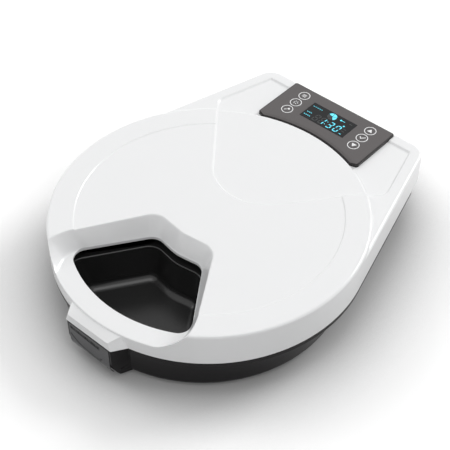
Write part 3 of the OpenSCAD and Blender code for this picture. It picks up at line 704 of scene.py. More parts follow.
def triangulated(
    outline: Points, holes: Sequence[Points], guides: Sequence[Line] = ()
) -> tuple[Points, Points]:
    """Fills a plan with triangles that keep to its guide lines.

    Args:
        outline: Outer edge of the plan.
        holes: Edges of its holes.
        guides: Lines that the triangles follow, each with whether it joins up.

    Returns:
        The points and the triangles.
    """
    spots: list[Vector] = []
    edges: list[tuple[int, int]] = []
    for line, closed in [(outline, True), *((hole, True) for hole in holes), *guides]:
        first, n = len(spots), len(line)
        spots += [Vector(p) for p in line.tolist()]
        edges += [(first + i, first + (i + 1) % n) for i in range(n if closed else n - 1)]
    found = delaunay_2d_cdt(spots, edges, [], 0, 2e-3, False)
    points = np.array([tuple(p) for p in found[0]])
    triangles = np.array(found[2])
    middles = points[triangles].mean(1)
    kept = depth_inside(middles, outline) > 0
    for hole in holes:
        kept &= depth_inside(middles, hole) < 0
    return points, triangles[kept]


def border_loops(triangles: Points) -> list[list[int]]:
    """Border loops of a sheet of triangles, the longest first.

    Args:
        triangles: The sheet's triangles.

    Returns:
        The indices of each loop's points.
    """
    edges = {(int(t[i]), int(t[(i + 1) % 3])) for t in triangles for i in range(3)}
    follow = {a: b for a, b in edges if (b, a) not in edges}
    loops = []
    while follow:
        start, after = next(iter(follow.items()))
        loop = [start]
        while after != start:
            loop.append(after)
            after = follow[after]
        for spot in loop:
            del follow[spot]
        loops.append(loop)
    return sorted(loops, key=len, reverse=True)


def finished(
    name: str,
    mesh: Mesh,
    finish: Finish,
    body: Body | str,
    stands_for: Sequence[str] = (),
    sharp: float = 32.0,
) -> Piece:
    """Makes a piece of the feeder from a mesh and lets it ride on its body.

    Args:
        name: The piece's name.
        mesh: Its mesh, in the frame's metres.
        finish: What it is made of.
        body: The CAD body that it moves with.
        stands_for: CAD nodes that it replaces.
        sharp: Angle in degrees past which an edge stays sharp.

    Returns:
        The piece.
    """
    piece = bpy.data.objects.new(name, mesh)
    bpy.context.scene.collection.objects.link(piece)
    mesh.materials.clear()
    mesh.materials.append(finish.dress())
    mesh.shade_smooth()
    mesh.set_sharp_from_angle(angle=math.radians(sharp))
    weighted = piece.modifiers.new("even_shading", "WEIGHTED_NORMAL")
    weighted.keep_sharp = True
    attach(piece, body.value if isinstance(body, Body) else body)
    if stands_for:
        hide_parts(*stands_for)
    return piece


def polished(name: str, node: str, finish: Finish, body: Body | str, edge: float = 0.0) -> Piece:
    """Stands for a CAD node with a welded copy of it that shades smoothly.

    Args:
        name: The piece's name.
        node: The CAD node.
        finish: What it is made of.
        body: The CAD body that it moves with.
        edge: Width in millimetres of the bevel on its sharp edges.

    Returns:
        The piece.
    """
    mesh = frame["nodes"][node].data.copy()
    mesh.name = name
    for layer in list(mesh.uv_layers):
        mesh.uv_layers.remove(layer)
    clean(mesh, False)
    bm = bmesh.new()
    bm.from_mesh(mesh)
    flat = math.radians(0.5)
    bmesh.ops.dissolve_limit(bm, angle_limit=flat, verts=bm.verts, edges=bm.edges, delimit={"NORMAL"})
    bm.to_mesh(mesh)
    bm.free()
    if mesh.has_custom_normals:
        mesh.attributes.remove(mesh.attributes["custom_normal"])
    piece = finished(name, mesh, finish, body, [node], 28.0)
    if edge:
        bevel = piece.modifiers.new("soft_edges", "BEVEL")
        bevel.width = edge * MM
        bevel.segments = 2
        bevel.limit_method = "ANGLE"
        bevel.angle_limit = math.radians(40)
        bevel.harden_normals = False
        piece.modifiers.move(1, 0)
    return piece


# Geometry node recipes for what repeats


class Recipe:
    """A geometry node tree with named inputs, which ends in realised geometry with a material."""

    def __init__(self, name: str) -> None:
        """Starts a tree that takes geometry and gives geometry.

        Args:
            name: The tree's name.
        """
        self.tree = bpy.data.node_groups.new(name, "GeometryNodeTree")
        for way in ("INPUT", "OUTPUT"):
            self.tree.interface.new_socket("Geometry", in_out=way, socket_type="NodeSocketGeometry")
        self.sockets: dict[str, str] = {}
        self.entry = self.tree.nodes.new("NodeGroupInput")
        self.exit = self.tree.nodes.new("NodeGroupOutput")

    def ask(self, name: str, kind: str) -> Socket:
        """Adds a named input and gives its socket.

        Args:
            name: The input's name.
            kind: Its type.

        Returns:
            The socket.
        """
        item = self.tree.interface.new_socket(name, in_out="INPUT", socket_type=f"NodeSocket{kind}")
        self.sockets[name] = item.identifier
        return self.entry.outputs[name]

    def feed(self, entry: Socket, value: object) -> None:
        """Links a socket to a node's entry, or sets the entry's value.

        Args:
            entry: The entry.
            value: A socket or a value.
        """
        if isinstance(value, Socket):
            self.tree.links.new(value, entry)
        else:
            entry.default_value = value

    def add(self, kind: str, **entries: object) -> Node:
        """Adds a node, and links or sets the inputs that are named, with underscores for spaces.

        Args:
            kind: The node's type.
            entries: A socket or a value for each named input.

        Returns:
            The node.
        """
        node = self.tree.nodes.new(kind)
        for name, value in entries.items():
            self.feed(node.inputs[name.replace("_", " ")], value)
        return node

    def maths(self, operation: str, first: object, second: object) -> Socket:
        """Adds a sum of two values or sockets.

        Args:
            operation: The kind of sum.
            first: Its first term.
            second: Its second term.

        Returns:
            The result.
        """
        node = self.tree.nodes.new("ShaderNodeMath")
        node.operation = operation
        for socket, value in zip(node.inputs, (first, second)):
            self.feed(socket, value)
        return node.outputs[0]

    def close(self, geometry: Socket, weld: float = 0.0) -> Recipe:
        """Ends the tree: realises instances, welds them, and sets the material.

        Args:
            geometry: What the tree has made.
            weld: Distance in metres for the weld, nought for none.

        Returns:
            The recipe.
        """
        last = self.add("GeometryNodeRealizeInstances", Geometry=geometry)
        if weld:
            last = self.add("GeometryNodeMergeByDistance", Geometry=last.outputs[0], Distance=weld)
        material = self.ask("Material", "Material")
        dressed = self.add("GeometryNodeSetMaterial", Geometry=last.outputs[0], Material=material)
        self.tree.links.new(dressed.outputs[0], self.exit.inputs[0])
        return self

    def copies(self, points: Node, part: Socket, weld: float = 0.0, **entries: Socket) -> Recipe:
        """Ends the tree with copies of a part on its points.

        Args:
            points: The node that makes the points.
            part: What is copied.
            weld: Distance for the weld.
            entries: Other inputs of the copies, such as their rotation.

        Returns:
            The recipe.
        """
        entries |= {"Points": points.outputs[0], "Instance": part}
        return self.close(self.add("GeometryNodeInstanceOnPoints", **entries).outputs[0], weld)

    def run(self, mesh: Mesh, values: dict[str, object]) -> Mesh:
        """Runs the tree on a mesh.

        Args:
            mesh: What the tree takes.
            values: The value of each named input.

        Returns:
            The resulting plain mesh.
        """
        holder = bpy.data.objects.new("holder", mesh)
        bpy.context.scene.collection.objects.link(holder)
        modifier = holder.modifiers.new("recipe", "NODES")
        modifier.node_group = self.tree
        for name, value in values.items():
            modifier[self.sockets[name]] = value
        ready = holder.evaluated_get(bpy.context.evaluated_depsgraph_get())
        result = bpy.data.meshes.new_from_object(ready)
        bpy.data.objects.remove(holder)
        return result


def ring_recipe() -> Recipe:
    """Repeats what it takes round the upright axis, by an angle per step.

    Returns:
        The recipe.
    """
    recipe = Recipe("repeat_round_axis")
    count = recipe.ask("Count", "Int")
    step, first = recipe.ask("Step", "Float"), recipe.ask("First", "Float")
    points = recipe.add("GeometryNodePoints", Count=count)
    index = recipe.add("GeometryNodeInputIndex").outputs[0]
    angle = recipe.maths("ADD", recipe.maths("MULTIPLY", index, step), first)
    euler = recipe.add("ShaderNodeCombineXYZ", Z=angle)
    turn = recipe.add("FunctionNodeEulerToRotation", Euler=euler.outputs[0])
    return recipe.copies(points, recipe.entry.outputs[0], WELD, Rotation=turn.outputs[0])


def place_recipe() -> Recipe:
    """Puts a copy of a part on each point it takes, turned the way that the point's aim says.

    Returns:
        The recipe.
    """
    recipe = Recipe("repeat_on_points")
    part = recipe.add("GeometryNodeObjectInfo", Object=recipe.ask("Part", "Object"), As_Instance=True)
    points = recipe.add("GeometryNodeMeshToPoints", Mesh=recipe.entry.outputs[0])
    aim = recipe.tree.nodes.new("GeometryNodeInputNamedAttribute")
    aim.data_type = "FLOAT_VECTOR"
    aim.inputs[0].default_value = "aim"
    turn = recipe.add("FunctionNodeAlignRotationToVector", Vector=aim.outputs[0])
    turn.axis = "Z"
    return recipe.copies(points, part.outputs["Geometry"], Rotation=turn.outputs[0])


def line_recipe() -> Recipe:
    """Repeats what it takes along +X.

    Returns:
        The recipe.
    """
    recipe = Recipe("repeat_along_line")
    count, pitch = recipe.ask("Count", "Int"), recipe.ask("Pitch", "Float")
    offset = recipe.add("ShaderNodeCombineXYZ", X=pitch)
    line = recipe.add("GeometryNodeMeshLine", Count=count, Offset=offset.outputs[0])
    return recipe.copies(line, recipe.entry.outputs[0])


def turned_copies(part: Mesh, count: int, step: float, first: float, finish: Finish) -> Mesh:
    """Repeats a part round the tray's axis, by a step and from a first angle in degrees.

    Args:
        part: The part's mesh, which is moved.
        count: How many copies.
        step: Angle between copies.
        first: Angle of the first copy.
        finish: What the part is made of.

    Returns:
        One mesh with all copies.
    """
    part.transform(Matrix.Translation((0, -TRAY_AXIS_Y, 0)))
    values = {"Count": count, "Step": math.radians(step), "First": math.radians(first)}
    mesh = ring_recipe().run(part, {**values, "Material": finish.dress()})
    mesh.transform(Matrix.Translation((0, TRAY_AXIS_Y, 0)))
    return mesh


def on_points(part: Draft, places: Sequence[Spot], aims: Sequence[Spot], finish: Finish) -> Mesh:
    """Puts a part, drafted at the origin and looking along +Z, on each of some places.

    Args:
        part: The part's draft.
        places: Places in millimetres about the tray's axis.
        aims: Direction in which each copy looks.
        finish: What the part is made of.

    Returns:
        One mesh with all copies.
    """
    shape = part.mesh("part_shape")
    shape.transform(Matrix.Translation((0, -TRAY_AXIS_Y, 0)))
    pattern = bpy.data.objects.new("part_pattern", shape)
    spots = Draft().add(np.array(places, float), []).mesh("spots", False)
    aim = spots.attributes.new("aim", "FLOAT_VECTOR", "POINT")
    aim.data.foreach_set("vector", np.array(aims, float).ravel())
    mesh = place_recipe().run(spots, {"Part": pattern, "Material": finish.dress()})
    bpy.data.objects.remove(pattern)
    return mesh


# Cover


@dataclass
class Window:
    """Food window: a funnel from the mouth on top down to the lower edge, open through the rim."""

    low_z: float = 61.4
    top_z: float = 83.0
    inner_r: tuple[float, float] = (47.0, 37.0)
    outer_r: float = 136.0
    angle: tuple[float, float] = (35.0, 31.4)
    offset: tuple[float, float] = (0.0, 14.5)
    bump_r: tuple[float, float] = (14.0, 18.0)
    bump_rise: float = 3.0
    along: tuple[float, float] = (116.0, 130.0)
    flare_r: tuple[float, float] = (52.0, 60.0)
    flare_end: tuple[float, float] = (8.0, 8.0)
    mouth_r: tuple[float, float] = (12.0, 12.0)
    mouth_end: tuple[float, float] = (-28.0, 7.0)
    corner_r: float = 13.0
    run_out_y: float = -178.0
    bends: tuple[float, ...] = (
        -0.14, -0.08, -0.04, 0, 0.04, 0.08, 0.14, 0.3, 0.5, 0.7, 0.88, 0.93, 0.97, 1, 1.03, 1.07, 1.12
    )
    under_bends: tuple[float, ...] = (-0.06, 0, 0.06, 0.3, 0.6, 0.86, 0.95, 1.02)
    levels: tuple[float, ...] = (-0.4, -0.2, -0.1, 0, 0.1, 0.25, 0.5, 0.75, 0.9, 1, 1.1, 1.25)
    far_up: float = 3.0

    def ring(self, share: float, wall: float = 0.0) -> Points:
        """Funnel's outline at a share of the way up, grown by a wall.

        Args:
            share: Share of the way from the lower edge to the mouth.
            wall: How far the outline is grown.

        Returns:
            The outline, which runs out past the front.
        """
        angle, end, last = (between(ends, share) for ends in (self.angle, self.flare_end, self.mouth_end))
        inner = between(self.inner_r, share)
        offset = between(self.offset, share) + wall
        flare_r, mouth_r = between(self.flare_r, share) + wall, between(self.mouth_r, share) + wall
        centre = direction(angle) * (offset - flare_r) + direction(angle - 90) * between(self.along, share)
        flare = arc(centre, flare_r, angle, end, 12)
        mouth = arc(flare[-1] - mouth_r * direction(end), mouth_r, end, last, 6)
        run = mouth[-1][1] - self.run_out_y
        tail = [[mouth[-1][0] + run * math.tan(math.radians(last)), self.run_out_y]]
        bump_r = between(self.bump_r, share) + wall
        edge = inner_edge(inner - wall, -inner + self.bump_rise + wall, bump_r, angle, offset)
        return both_sides(np.concatenate([edge, flare, mouth[1:], tail]), False)

    def opening(self) -> Points:
        """Outline of the hole at the window's lower edge.

        Returns:
            The outline, anticlockwise.
        """
        inner, top_y = self.inner_r[0], self.bump_rise - self.inner_r[0]
        sides = (self.bump_r[0], self.angle[0], self.offset[0])
        return slice_plan(inner, top_y, *sides, self.outer_r, self.corner_r)

    def wall_height(self, points: Points, wall: float = 0.0) -> Points:
        """Height of the funnel's wall over each point, far above the cover outside the funnel.

        Args:
            points: Points in plan.
            wall: How far the funnel is grown.

        Returns:
            The heights.
        """
        shares = np.array(self.levels)
        depth = np.stack([depth_inside(points, self.ring(s, wall)) for s in shares])
        share = np.full(len(points), self.far_up)
        for low in range(len(shares) - 2, -1, -1):
            a, b = depth[low], depth[low + 1]
            found = (a <= 0) & (b > 0)
            part = -a / np.maximum(b - a, 1e-9)
            share = np.where(found, between(shares[low : low + 2], part), share)
        share = np.where(depth[0] > 0, shares[0], share)
        return self.low_z + share * (self.top_z - self.low_z)


@dataclass
class Cover:
    """White cover: round top, rear block, sunken field and shield, window, lift tab and ribs."""

    radius: float = 156.0
    top_z: float = 83.0
    block_z: float = 78.0
    seam_z: float = 46.0
    corner: tuple[float, float] = (88.0, 197.0)
    corner_r: float = 18.0
    wall: float = 2.5
    edge_r: float = 3.0
    field_r: float = 130.0
    field_depth: float = 1.0
    shield_angle: float = 39.0
    shield_depth: float = 1.8
    shield_border: float = 13.0
    shield_tip_r: float = 54.0
    shield_corner_r: float = 11.0
    shield_step_r: float = 2.8
    field_soft: float = 0.85
    shield_soft: float = 1.25
    wall_lean: float = 0.05
    hollow_r: float = 0.5
    foot_r: float = 0.6
    lip_fall: float = 0.03
    lip_edge_r: float = 1.0
    opening_half: float = 61.0
    opening_front_r: float = 164.0
    opening_rear_y: float = 207.5
    tab_root: tuple[float, float] = (39.0, -150.0)
    tab_tip: tuple[float, float] = (29.0, -165.0)
    tab_lean: tuple[float, float] = (5.8, 3.2)
    tab_rim_z: float = 59.5
    tab_slope: float = 0.36
    tab_line: tuple[float, float] = (0.45, 0.6)
    tab_tip_lean: float = 0.2
    tab_back: float = 12.0
    tab_corner_r: float = 1.6
    tab_foot: float = 0.1
    tab_blend: float = 0.8
    seat_gap: float = 0.3
    seat_soft: float = 0.06
    mouth_edge_r: float = 0.7
    blends: tuple[float, float] = (2.4, 2.2)
    under_blends: tuple[float, float] = (1.0, 1.5)
    rib_half: float = 0.8
    rib_count: int = 3
    rib_step: float = 30.0
    rib_under: tuple[tuple[float, float], ...] = ((60, 75.2), (150, 71.2), (152.6, 71.6))
    rib_sets: tuple[tuple[str, float, float], ...] = (
        ("left_ribs", 150, 81.0), ("right_ribs", -30, 81.0), ("shield_ribs", 60, 79.0),
    )
    window: Window = field(default_factory=Window)

    def plan(self, inset: float) -> Points:
        """Cover's outline, shrunk by an inset."""
        return teardrop(self.radius - inset, 0, self.corner, self.corner_r - inset)

    def disc(self, inset: float) -> Points:
        """Outline of the round top, which shares its front with the cover's.

        Args:
            inset: How far it is shrunk.

        Returns:
            The outline, anticlockwise.
        """
        turn = side_turn(self.radius, 0, self.corner, self.corner_r)
        front = arc((0, 0), self.radius - inset, 180 - turn, 360 + turn, 132)
        return np.concatenate([front, arc((0, 0), self.radius - inset, turn, 180 - turn, 80)[1:-1]])

    def rear_arc(self, radius: float) -> Points:
        """Arc of the round top's rear edge over the block."""
        turn = side_turn(self.radius, 0, self.corner, self.corner_r)
        return arc((0, 0), radius, turn, 180 - turn, 80)

    def tab(self, inset: float, lean: float) -> Points:
        """Tab's outline, shrunk by an inset and by a share of its sides' lean.

        Args:
            inset: How far it is shrunk.
            lean: Share of the lean.

        Returns:
            The outline.
        """
        root = self.tab_root[0] - inset - lean * self.tab_lean[0]
        tip = self.tab_tip[0] - inset - lean * self.tab_lean[1]
        front = self.tab_tip[1] + inset + self.tab_tip_lean * lean
        back = self.tab_root[1] + self.tab_back
        wide = root + (root - tip) / (self.tab_root[1] - self.tab_tip[1]) * self.tab_back
        corners = [(-wide, back), (-tip, front), (tip, front), (wide, back)]
        return rounded(corners, [0, self.tab_corner_r, self.tab_corner_r, 0], 5)

    def outline(self, inset: float) -> Points:
        """Cover's outline with its tab.

        Args:
            inset: How far it is shrunk.

        Returns:
            The outline, anticlockwise.
        """
        tab, plan = self.tab(inset, 0), self.plan(inset)
        inside = depth_inside(plan, tab) > 0
        first = int(np.argmax(inside))
        rolled = np.roll(plan, -first, 0)[int(inside.sum()) :]
        radius = self.radius - inset
        corners = []
        for a, b in ((tab[0], tab[1]), (tab[-1], tab[-2])):
            line = a + np.linspace(0, 1, 4001)[:, None] * (b - a)
            corners.append(line[int(np.argmin(np.abs(np.hypot(*line.T) - radius)))])
        return np.concatenate([rolled, [corners[0]], tab[1:-1], [corners[1]]])

    def shield(self, grow: float) -> Points:
        """Outline of the sunken shield.

        Args:
            grow: How far it is grown.

        Returns:
            The outline, anticlockwise.
        """
        side = direction(90 - self.shield_angle)
        tip = arc((0, self.shield_tip_r / side[0]), self.shield_tip_r, 270, 360 - self.shield_angle, 24)
        border = self.plan(self.shield_border)
        normal = direction(side_turn(self.radius, 0, self.corner, self.corner_r))
        meet = side * (self.radius - self.shield_border) / float(side @ normal)
        rear_y = float(border[:, 1].max())
        rear_x = (self.radius - self.shield_border - normal[1] * rear_y) / normal[0]
        bend = rounded([tip[-1], meet, (rear_x, rear_y), (0, rear_y)], [0, self.shield_corner_r, 1.0, 0], 8)
        outline = both_sides(np.concatenate([tip[:-1], bend]), True)[::-1]
        return grown(outline, grow)

    def seat(self, grow: float) -> Points:
        """Outline of the seat under the control panel."""
        return grown(ControlPanel().outline(), grow)

    def panel_opening(self) -> Points:
        """Outline of the hole under the control panel.

        Returns:
            The outline.
        """
        reach = math.degrees(math.acos(self.opening_half / self.opening_front_r))
        front = arc((0, 0), self.opening_front_r, 180 - reach, reach, 24)
        rear = [[side * self.opening_half, self.opening_rear_y] for side in (1, -1)]
        return np.concatenate([front, rear])

    def tab_height(self, points: Points) -> Points:
        """Height of the tab's top and sloping sides.

        Args:
            points: Points in plan.

        Returns:
            The heights.
        """
        reach = np.hypot(*points.T)
        top = self.tab_rim_z - self.tab_slope * np.maximum(0, reach - self.radius)
        half, deep = self.tab_line
        top = top - deep * np.maximum(0, 1 - np.abs(reach - self.radius - half) / half)
        base = self.seam_z + self.foot_r + self.tab_foot
        outside, inside = depth_inside(points, self.tab(0, 0)), depth_inside(points, self.tab(0, 1))
        climb = np.clip(outside / np.maximum(outside - inside, 0.05), 0, 1.4)
        return soft_min(top, base + (top - base) * climb, self.tab_blend)

    def top_height(self, points: Points) -> Points:
        """Height of the cover's outside over each point.

        Args:
            points: Points in plan.

        Returns:
            The heights.
        """
        reach = np.hypot(*points.T)
        inside = depth_inside(points, self.plan(0))
        block = self.block_z - edge_drop(inside, self.edge_r)
        depth = self.radius - reach
        field = self.field_depth * step_up(self.field_r - reach, self.field_soft)
        disc = self.top_z - edge_drop(depth, self.edge_r) - field
        plain = np.where(depth >= 0, np.maximum(disc, block), block + self.foot_fillet(depth, disc - block))
        sunk_disc = self.top_z - self.field_depth - self.shield_depth - edge_drop(depth, self.shield_step_r)
        sunk_block = self.block_z - self.shield_depth
        sunk = np.where(depth >= 0, sunk_disc, sunk_block + self.foot_fillet(depth, sunk_disc - sunk_block))
        share = step_up(depth_inside(points, self.shield(0)), self.shield_soft)
        top = plain + share * (np.minimum(sunk, plain) - plain)
        seat = step_up(depth_inside(points, self.seat(self.seat_gap)), self.seat_soft)
        top = np.where(depth < -0.2, top + seat * (sunk_block - top), top)
        lip = self.window.low_z - self.lip_fall * np.maximum(0, reach - self.window.outer_r)
        lip = lip - edge_drop(depth, self.lip_edge_r)
        lip = lip - edge_drop(-depth_inside(points, self.window.opening()), self.mouth_edge_r)
        funnel = soft_max(lip, self.window.wall_height(points), self.blends[0])
        top = soft_min(top, funnel, self.blends[1])
        return np.where(inside < -1e-3, self.tab_height(points), top)

    def foot_fillet(self, depth: Points, drop: Points) -> Points:
        """Rise of the fillet at the foot of the round top's rear edge.

        Args:
            depth: Distance of each point inside the round top.
            drop: Step down to the block there.

        Returns:
            The rises.
        """
        r = self.hollow_r
        hollow = r - np.minimum(r, edge_hollow(-depth, r))
        return np.where(depth > -self.wall_lean, np.maximum(drop, 0) * 0.5, hollow)

    def under_height(self, points: Points) -> Points:
        """Height of the cover's underside over each point.

        Args:
            points: Points in plan.

        Returns:
            The heights.
        """
        reach = np.hypot(*points.T)
        depth = self.radius - self.wall - reach
        plain = np.where(depth >= 0, self.top_z, self.block_z) - self.wall
        sunk = plain - np.where(depth >= 0, self.field_depth, 0) - self.shield_depth
        share = step_up(depth_inside(points, self.shield(self.wall)), self.shield_soft)
        top = plain + share * (sunk - plain)
        lip = self.window.low_z - self.wall - self.lip_fall * np.maximum(0, reach - self.window.outer_r)
        funnel = soft_max(lip, self.window.wall_height(points, self.wall), self.under_blends[0])
        under = soft_min(top, funnel, self.under_blends[1])
        inside = depth_inside(points, self.plan(self.wall))
        tab = self.tab_height(points) - self.wall
        return np.where(inside < -1e-3, np.minimum(tab, lip), under)

    def guides(self) -> list[Line]:
        """Lines along which the cover's outside bends.

        Returns:
            The lines, each with whether it joins up.
        """
        lines: list[Line] = []
        for share in 1 - np.cos(QUARTER):
            lines += [(self.plan(self.edge_r * share), True), (self.disc(self.edge_r * share), True)]
            lines.append((self.rear_arc(self.radius - self.shield_step_r * share), False))
            lines.append((grown(self.window.opening(), self.mouth_edge_r * share), True))
            lines.append((arc((0, 0), self.radius - self.lip_edge_r * share, 225, 315, 60), False))
        lines += [(self.rear_arc(self.radius + gap), False) for gap in (self.wall_lean, 0.15, 0.3, 0.5)]
        for share in (-1, -0.5, 0, 0.5, 1):
            lines.append((circle((0, 0), self.field_r + self.field_soft * share, 200), True))
            lines.append((self.shield(self.shield_soft * share), True))
        lines += [(self.seat(self.seat_gap + self.seat_soft * share), True) for share in (-1, 0, 1)]
        lines += [(self.window.ring(share), True) for share in self.window.bends]
        lines += [(self.tab(0, lean), True) for lean in (0.85, 0.93, 1, 1.07, 1.15)]
        lines += [(arc((0, 0), self.radius + self.tab_line[0] * k, 250, 290, 30), False) for k in (1, 2)]
        return lines

    def under_guides(self) -> list[Line]:
        """Lines along which the cover's underside bends.

        Returns:
            The lines, each with whether it joins up.
        """
        lines = [(circle((0, 0), self.radius - self.wall + gap, 200), True) for gap in (-0.05, 0.05)]
        lines += [(self.shield(self.wall + self.shield_soft * share), True) for share in (-1, 0, 1)]
        lines += [(self.window.ring(share, self.wall), True) for share in self.window.under_bends]
        return lines

    def moulding(self) -> Piece:
        """Makes the cover's moulding: outside, underside, and the edges that join them.

        Returns:
            The piece.
        """
        draft = Draft()
        openings = [self.window.opening(), self.panel_opening()]
        spots, triangles = triangulated(self.outline(0), openings, self.guides())
        draft.add(level(spots, self.top_height(spots)), triangles)
        loops = [spots[loop] for loop in border_loops(triangles)]
        outer = max(loops, key=lambda loop: float(np.ptp(loop[:, 1])))
        holes = [loop for loop in loops if loop is not outer]
        inner = self.outline(self.wall)
        under, under_triangles = triangulated(inner, [hole[::-1] for hole in holes], self.under_guides())
        draft.add(level(under, self.under_height(under)), under_triangles[:, ::-1])
        for hole in holes:
            draft.loft([level(hole, self.top_height(hole)), level(hole, self.under_height(hole))])
        rings = [level(outer, self.top_height(outer)), level(outer, self.seam_z + self.foot_r)]
        for inset, rise in edge_steps(self.foot_r, QUARTER[2::2]):
            rings.append(level(grown(outer, -inset), self.seam_z + rise))
        draft.loft(rings)
        inner_loops = [under[loop] for loop in border_loops(under_triangles)]
        inner = max(inner_loops, key=lambda loop: float(np.ptp(loop[:, 1])))
        draft.loft([level(inner, self.seam_z), level(inner, self.under_height(inner))])
        foot, foot_triangles = triangulated(grown(outer, -self.foot_r), [inner])
        draft.add(level(foot, self.seam_z), foot_triangles[:, ::-1])
        mesh = draft.mesh("cover_moulding")
        return finished("cover_moulding", mesh, Finish.COVER_WHITE, Body.COVER, ["cover_shell"], 40.0)

    def ribs(self) -> None:
        """Makes the ribs under the round top, lower where they run under the shield."""
        for name, first, top in self.rib_sets:
            side = [*self.rib_under, (self.rib_under[-1][0], top), (self.rib_under[0][0], top)]
            rings = [np.array([[x, y, z] for x, z in side]) for y in (-self.rib_half, self.rib_half)]
            rib = Draft().loft(rings, caps=(True, True)).mesh("rib")
            mesh = turned_copies(rib, self.rib_count, self.rib_step, first, Finish.COVER_WHITE)
            finished(name, mesh, Finish.COVER_WHITE, Body.COVER)

    def build(self) -> None:
        """Makes the cover's pieces."""
        self.moulding()
        self.ribs()
        polished("cover_hook", "cover_catch", Finish.COVER_WHITE, Body.COVER, 0.2)


def edge_hollow(distance: Points, radius: float) -> Points:
    """Fall of a hollow fillet at a distance from the wall that it stands against."""
    t = np.clip(distance, 0, radius)
    return np.sqrt(np.maximum(0, radius**2 - (radius - t) ** 2))


# Control panel


@dataclass
class ControlPanel:
    """Dark panel on the rear block, with its display, keys and printed rings."""

    half: float = 65.0
    front_r: float = 157.0
    rear_y: float = 212.5
    low_z: float = 76.3
    top_z: float = 80.3
    edge: float = 1.1
    front_corner: float = 7.0
    rear_corner: float = 2.5
    roll: float = 5.0
    roll_drop: float = 1.3
    film_inset: float = 3.2
    film_step: float = 0.12
    screen: tuple[float, float] = (56.5, 26.3)
    screen_y: float = 184.9
    key_x: float = 43.6
    key_pitch: float = 14.5
    key_r: float = 5.1
    ring_r: tuple[float, float] = (5.5, 6.4)
    print_h: float = 0.05
    mark_size: float = 1.22
    # Band of darkened plate left showing round the film: painted shade on the rolled edge.
    film_edge: float = 1.3
    film_h: float = 0.06
    side_corner: float = 3.0
    screen_gap: float = 0.1
    key_gap: float = 0.12
    roll_bends: tuple[float, ...] = (1.8, 3.3, 4.2, 5.0)
    hole_depth: float = 1.6
    print_sunk: float = 0.05
    key_rise: float = 0.06
    key_edge: float = 0.25
    key_stem: tuple[tuple[float, float], ...] = (
        (0, 73.0), (1.8, 73.0), (1.8, 77.0), (6.2, 77.0), (6.2, 77.8)
    )

    def outline(self) -> Points:
        """Panel's plan, with a hollow round front.

        Returns:
            The outline.
        """
        reach = math.sqrt(self.front_r**2 - self.half**2)
        angle = math.degrees(math.asin(self.half / self.front_r))
        inner = arc((0, 0), self.front_r, 90 + angle - 3.2, 90 - angle + 3.2, 48)
        side_y = reach + self.front_corner * 0.62 + 1.4
        corners = [
            (self.half, side_y),
            (self.half, self.rear_y),
            (-self.half, self.rear_y),
            (-self.half, side_y),
        ]
        radii = [0, self.side_corner, self.rear_corner, self.rear_corner, self.side_corner, 0]
        rear = rounded([inner[-1], *corners, inner[0]], radii, 6)
        return np.concatenate([inner, rear[1:-1]])

    def height(self, points: Points) -> Points:
        """Height of the panel's top over each point.

        Args:
            points: Points in plan.

        Returns:
            The heights.
        """
        inside = depth_inside(points, self.outline())
        front = np.hypot(*points.T) - self.front_r
        roll = self.roll_drop * (1 - np.clip(front / self.roll, 0, 1)) ** 2
        film = self.film_step * (1 - step_up(inside - self.film_inset, 0.15))
        return self.top_z - roll - film - edge_drop(inside, self.edge)

    def keys(self) -> list[tuple[str, float, float]]:
        """Each key's name with its place.

        Returns:
            The names and places.
        """
        names = (("view", "set", "mode"), ("down", "ok", "up"))
        places = []
        for column, x in zip(names, (-self.key_x, self.key_x)):
            for row, name in zip((-1, 0, 1), column):
                places.append((name, x, self.screen_y + row * self.key_pitch))
        return places

    def plate(self) -> None:
        """Makes the panel's plate with its openings, in a darkened copy of the panel's grey that paints
        shade on the band round the film and on the openings' walls, and the grey film on top.
        """
        outline = self.outline()
        width, depth = self.screen
        holes = [box_outline(width + 2 * self.screen_gap, depth + 2 * self.screen_gap, (0, self.screen_y))]
        holes += [circle((x, y), self.key_r + self.key_gap, 48) for _, x, y in self.keys()]
        guides = [(grown(outline, -self.edge * share), True) for share in 1 - np.cos(QUARTER)]
        guides += [(grown(outline, -self.film_inset - gap), True) for gap in (-0.15, 0, 0.15)]
        sweep = math.degrees(math.asin(self.half / self.front_r))
        for gap in self.roll_bends:
            guides.append((arc((0, 0), self.front_r + gap, 90 + sweep, 90 - sweep, 48), False))
        spots, triangles = triangulated(outline, holes, guides)
        draft = Draft().add(level(spots, self.height(spots) - self.film_h), triangles)
        for index in border_loops(triangles):
            loop = spots[index]
            low = self.low_z if np.ptp(loop[:, 0]) > self.half else self.top_z - self.hole_depth
            draft.loft([level(loop, self.height(loop) - self.film_h), level(loop, low)])
            draft.add(level(loop, low), [tuple(range(len(loop)))])
        mesh = draft.mesh("panel_plate")
        # The plate takes the darkened grey: painted shade on the band round the film and on the openings'
        # walls.
        finished("panel_plate", mesh, Finish.PANEL_PAINTED_SHADE, Body.COVER, ["control_panel"], 40.0)
        spots, triangles = triangulated(grown(outline, -self.film_edge), holes, guides)
        tops, lows = (level(spots, self.height(spots) - deep) for deep in (0, 2 * self.film_h))
        draft = Draft().add(tops, triangles).add(lows, triangles[:, ::-1]).walls(triangles, tops, lows)
        finished("panel_film", draft.mesh("panel_film"), Finish.PANEL_GREY, Body.COVER, sharp=40.0)

    def printed(
        self, name: str, shapes: Sequence[Points], finish: Finish, body: Body | str, low: float, rise: float
    ) -> Piece:
        """Makes thin raised marks from outlines.

        Args:
            name: The piece's name.
            shapes: Outlines about the tray's axis.
            finish: What the marks are made of.
            body: The CAD body that they move with.
            low: Height that the marks lie on.
            rise: Height of the marks over it.

        Returns:
            The piece.
        """
        draft = Draft()
        for shape in shapes:
            draft.plate(shape, low - self.print_sunk, low + rise)
        return finished(name, draft.mesh(name), finish, body)

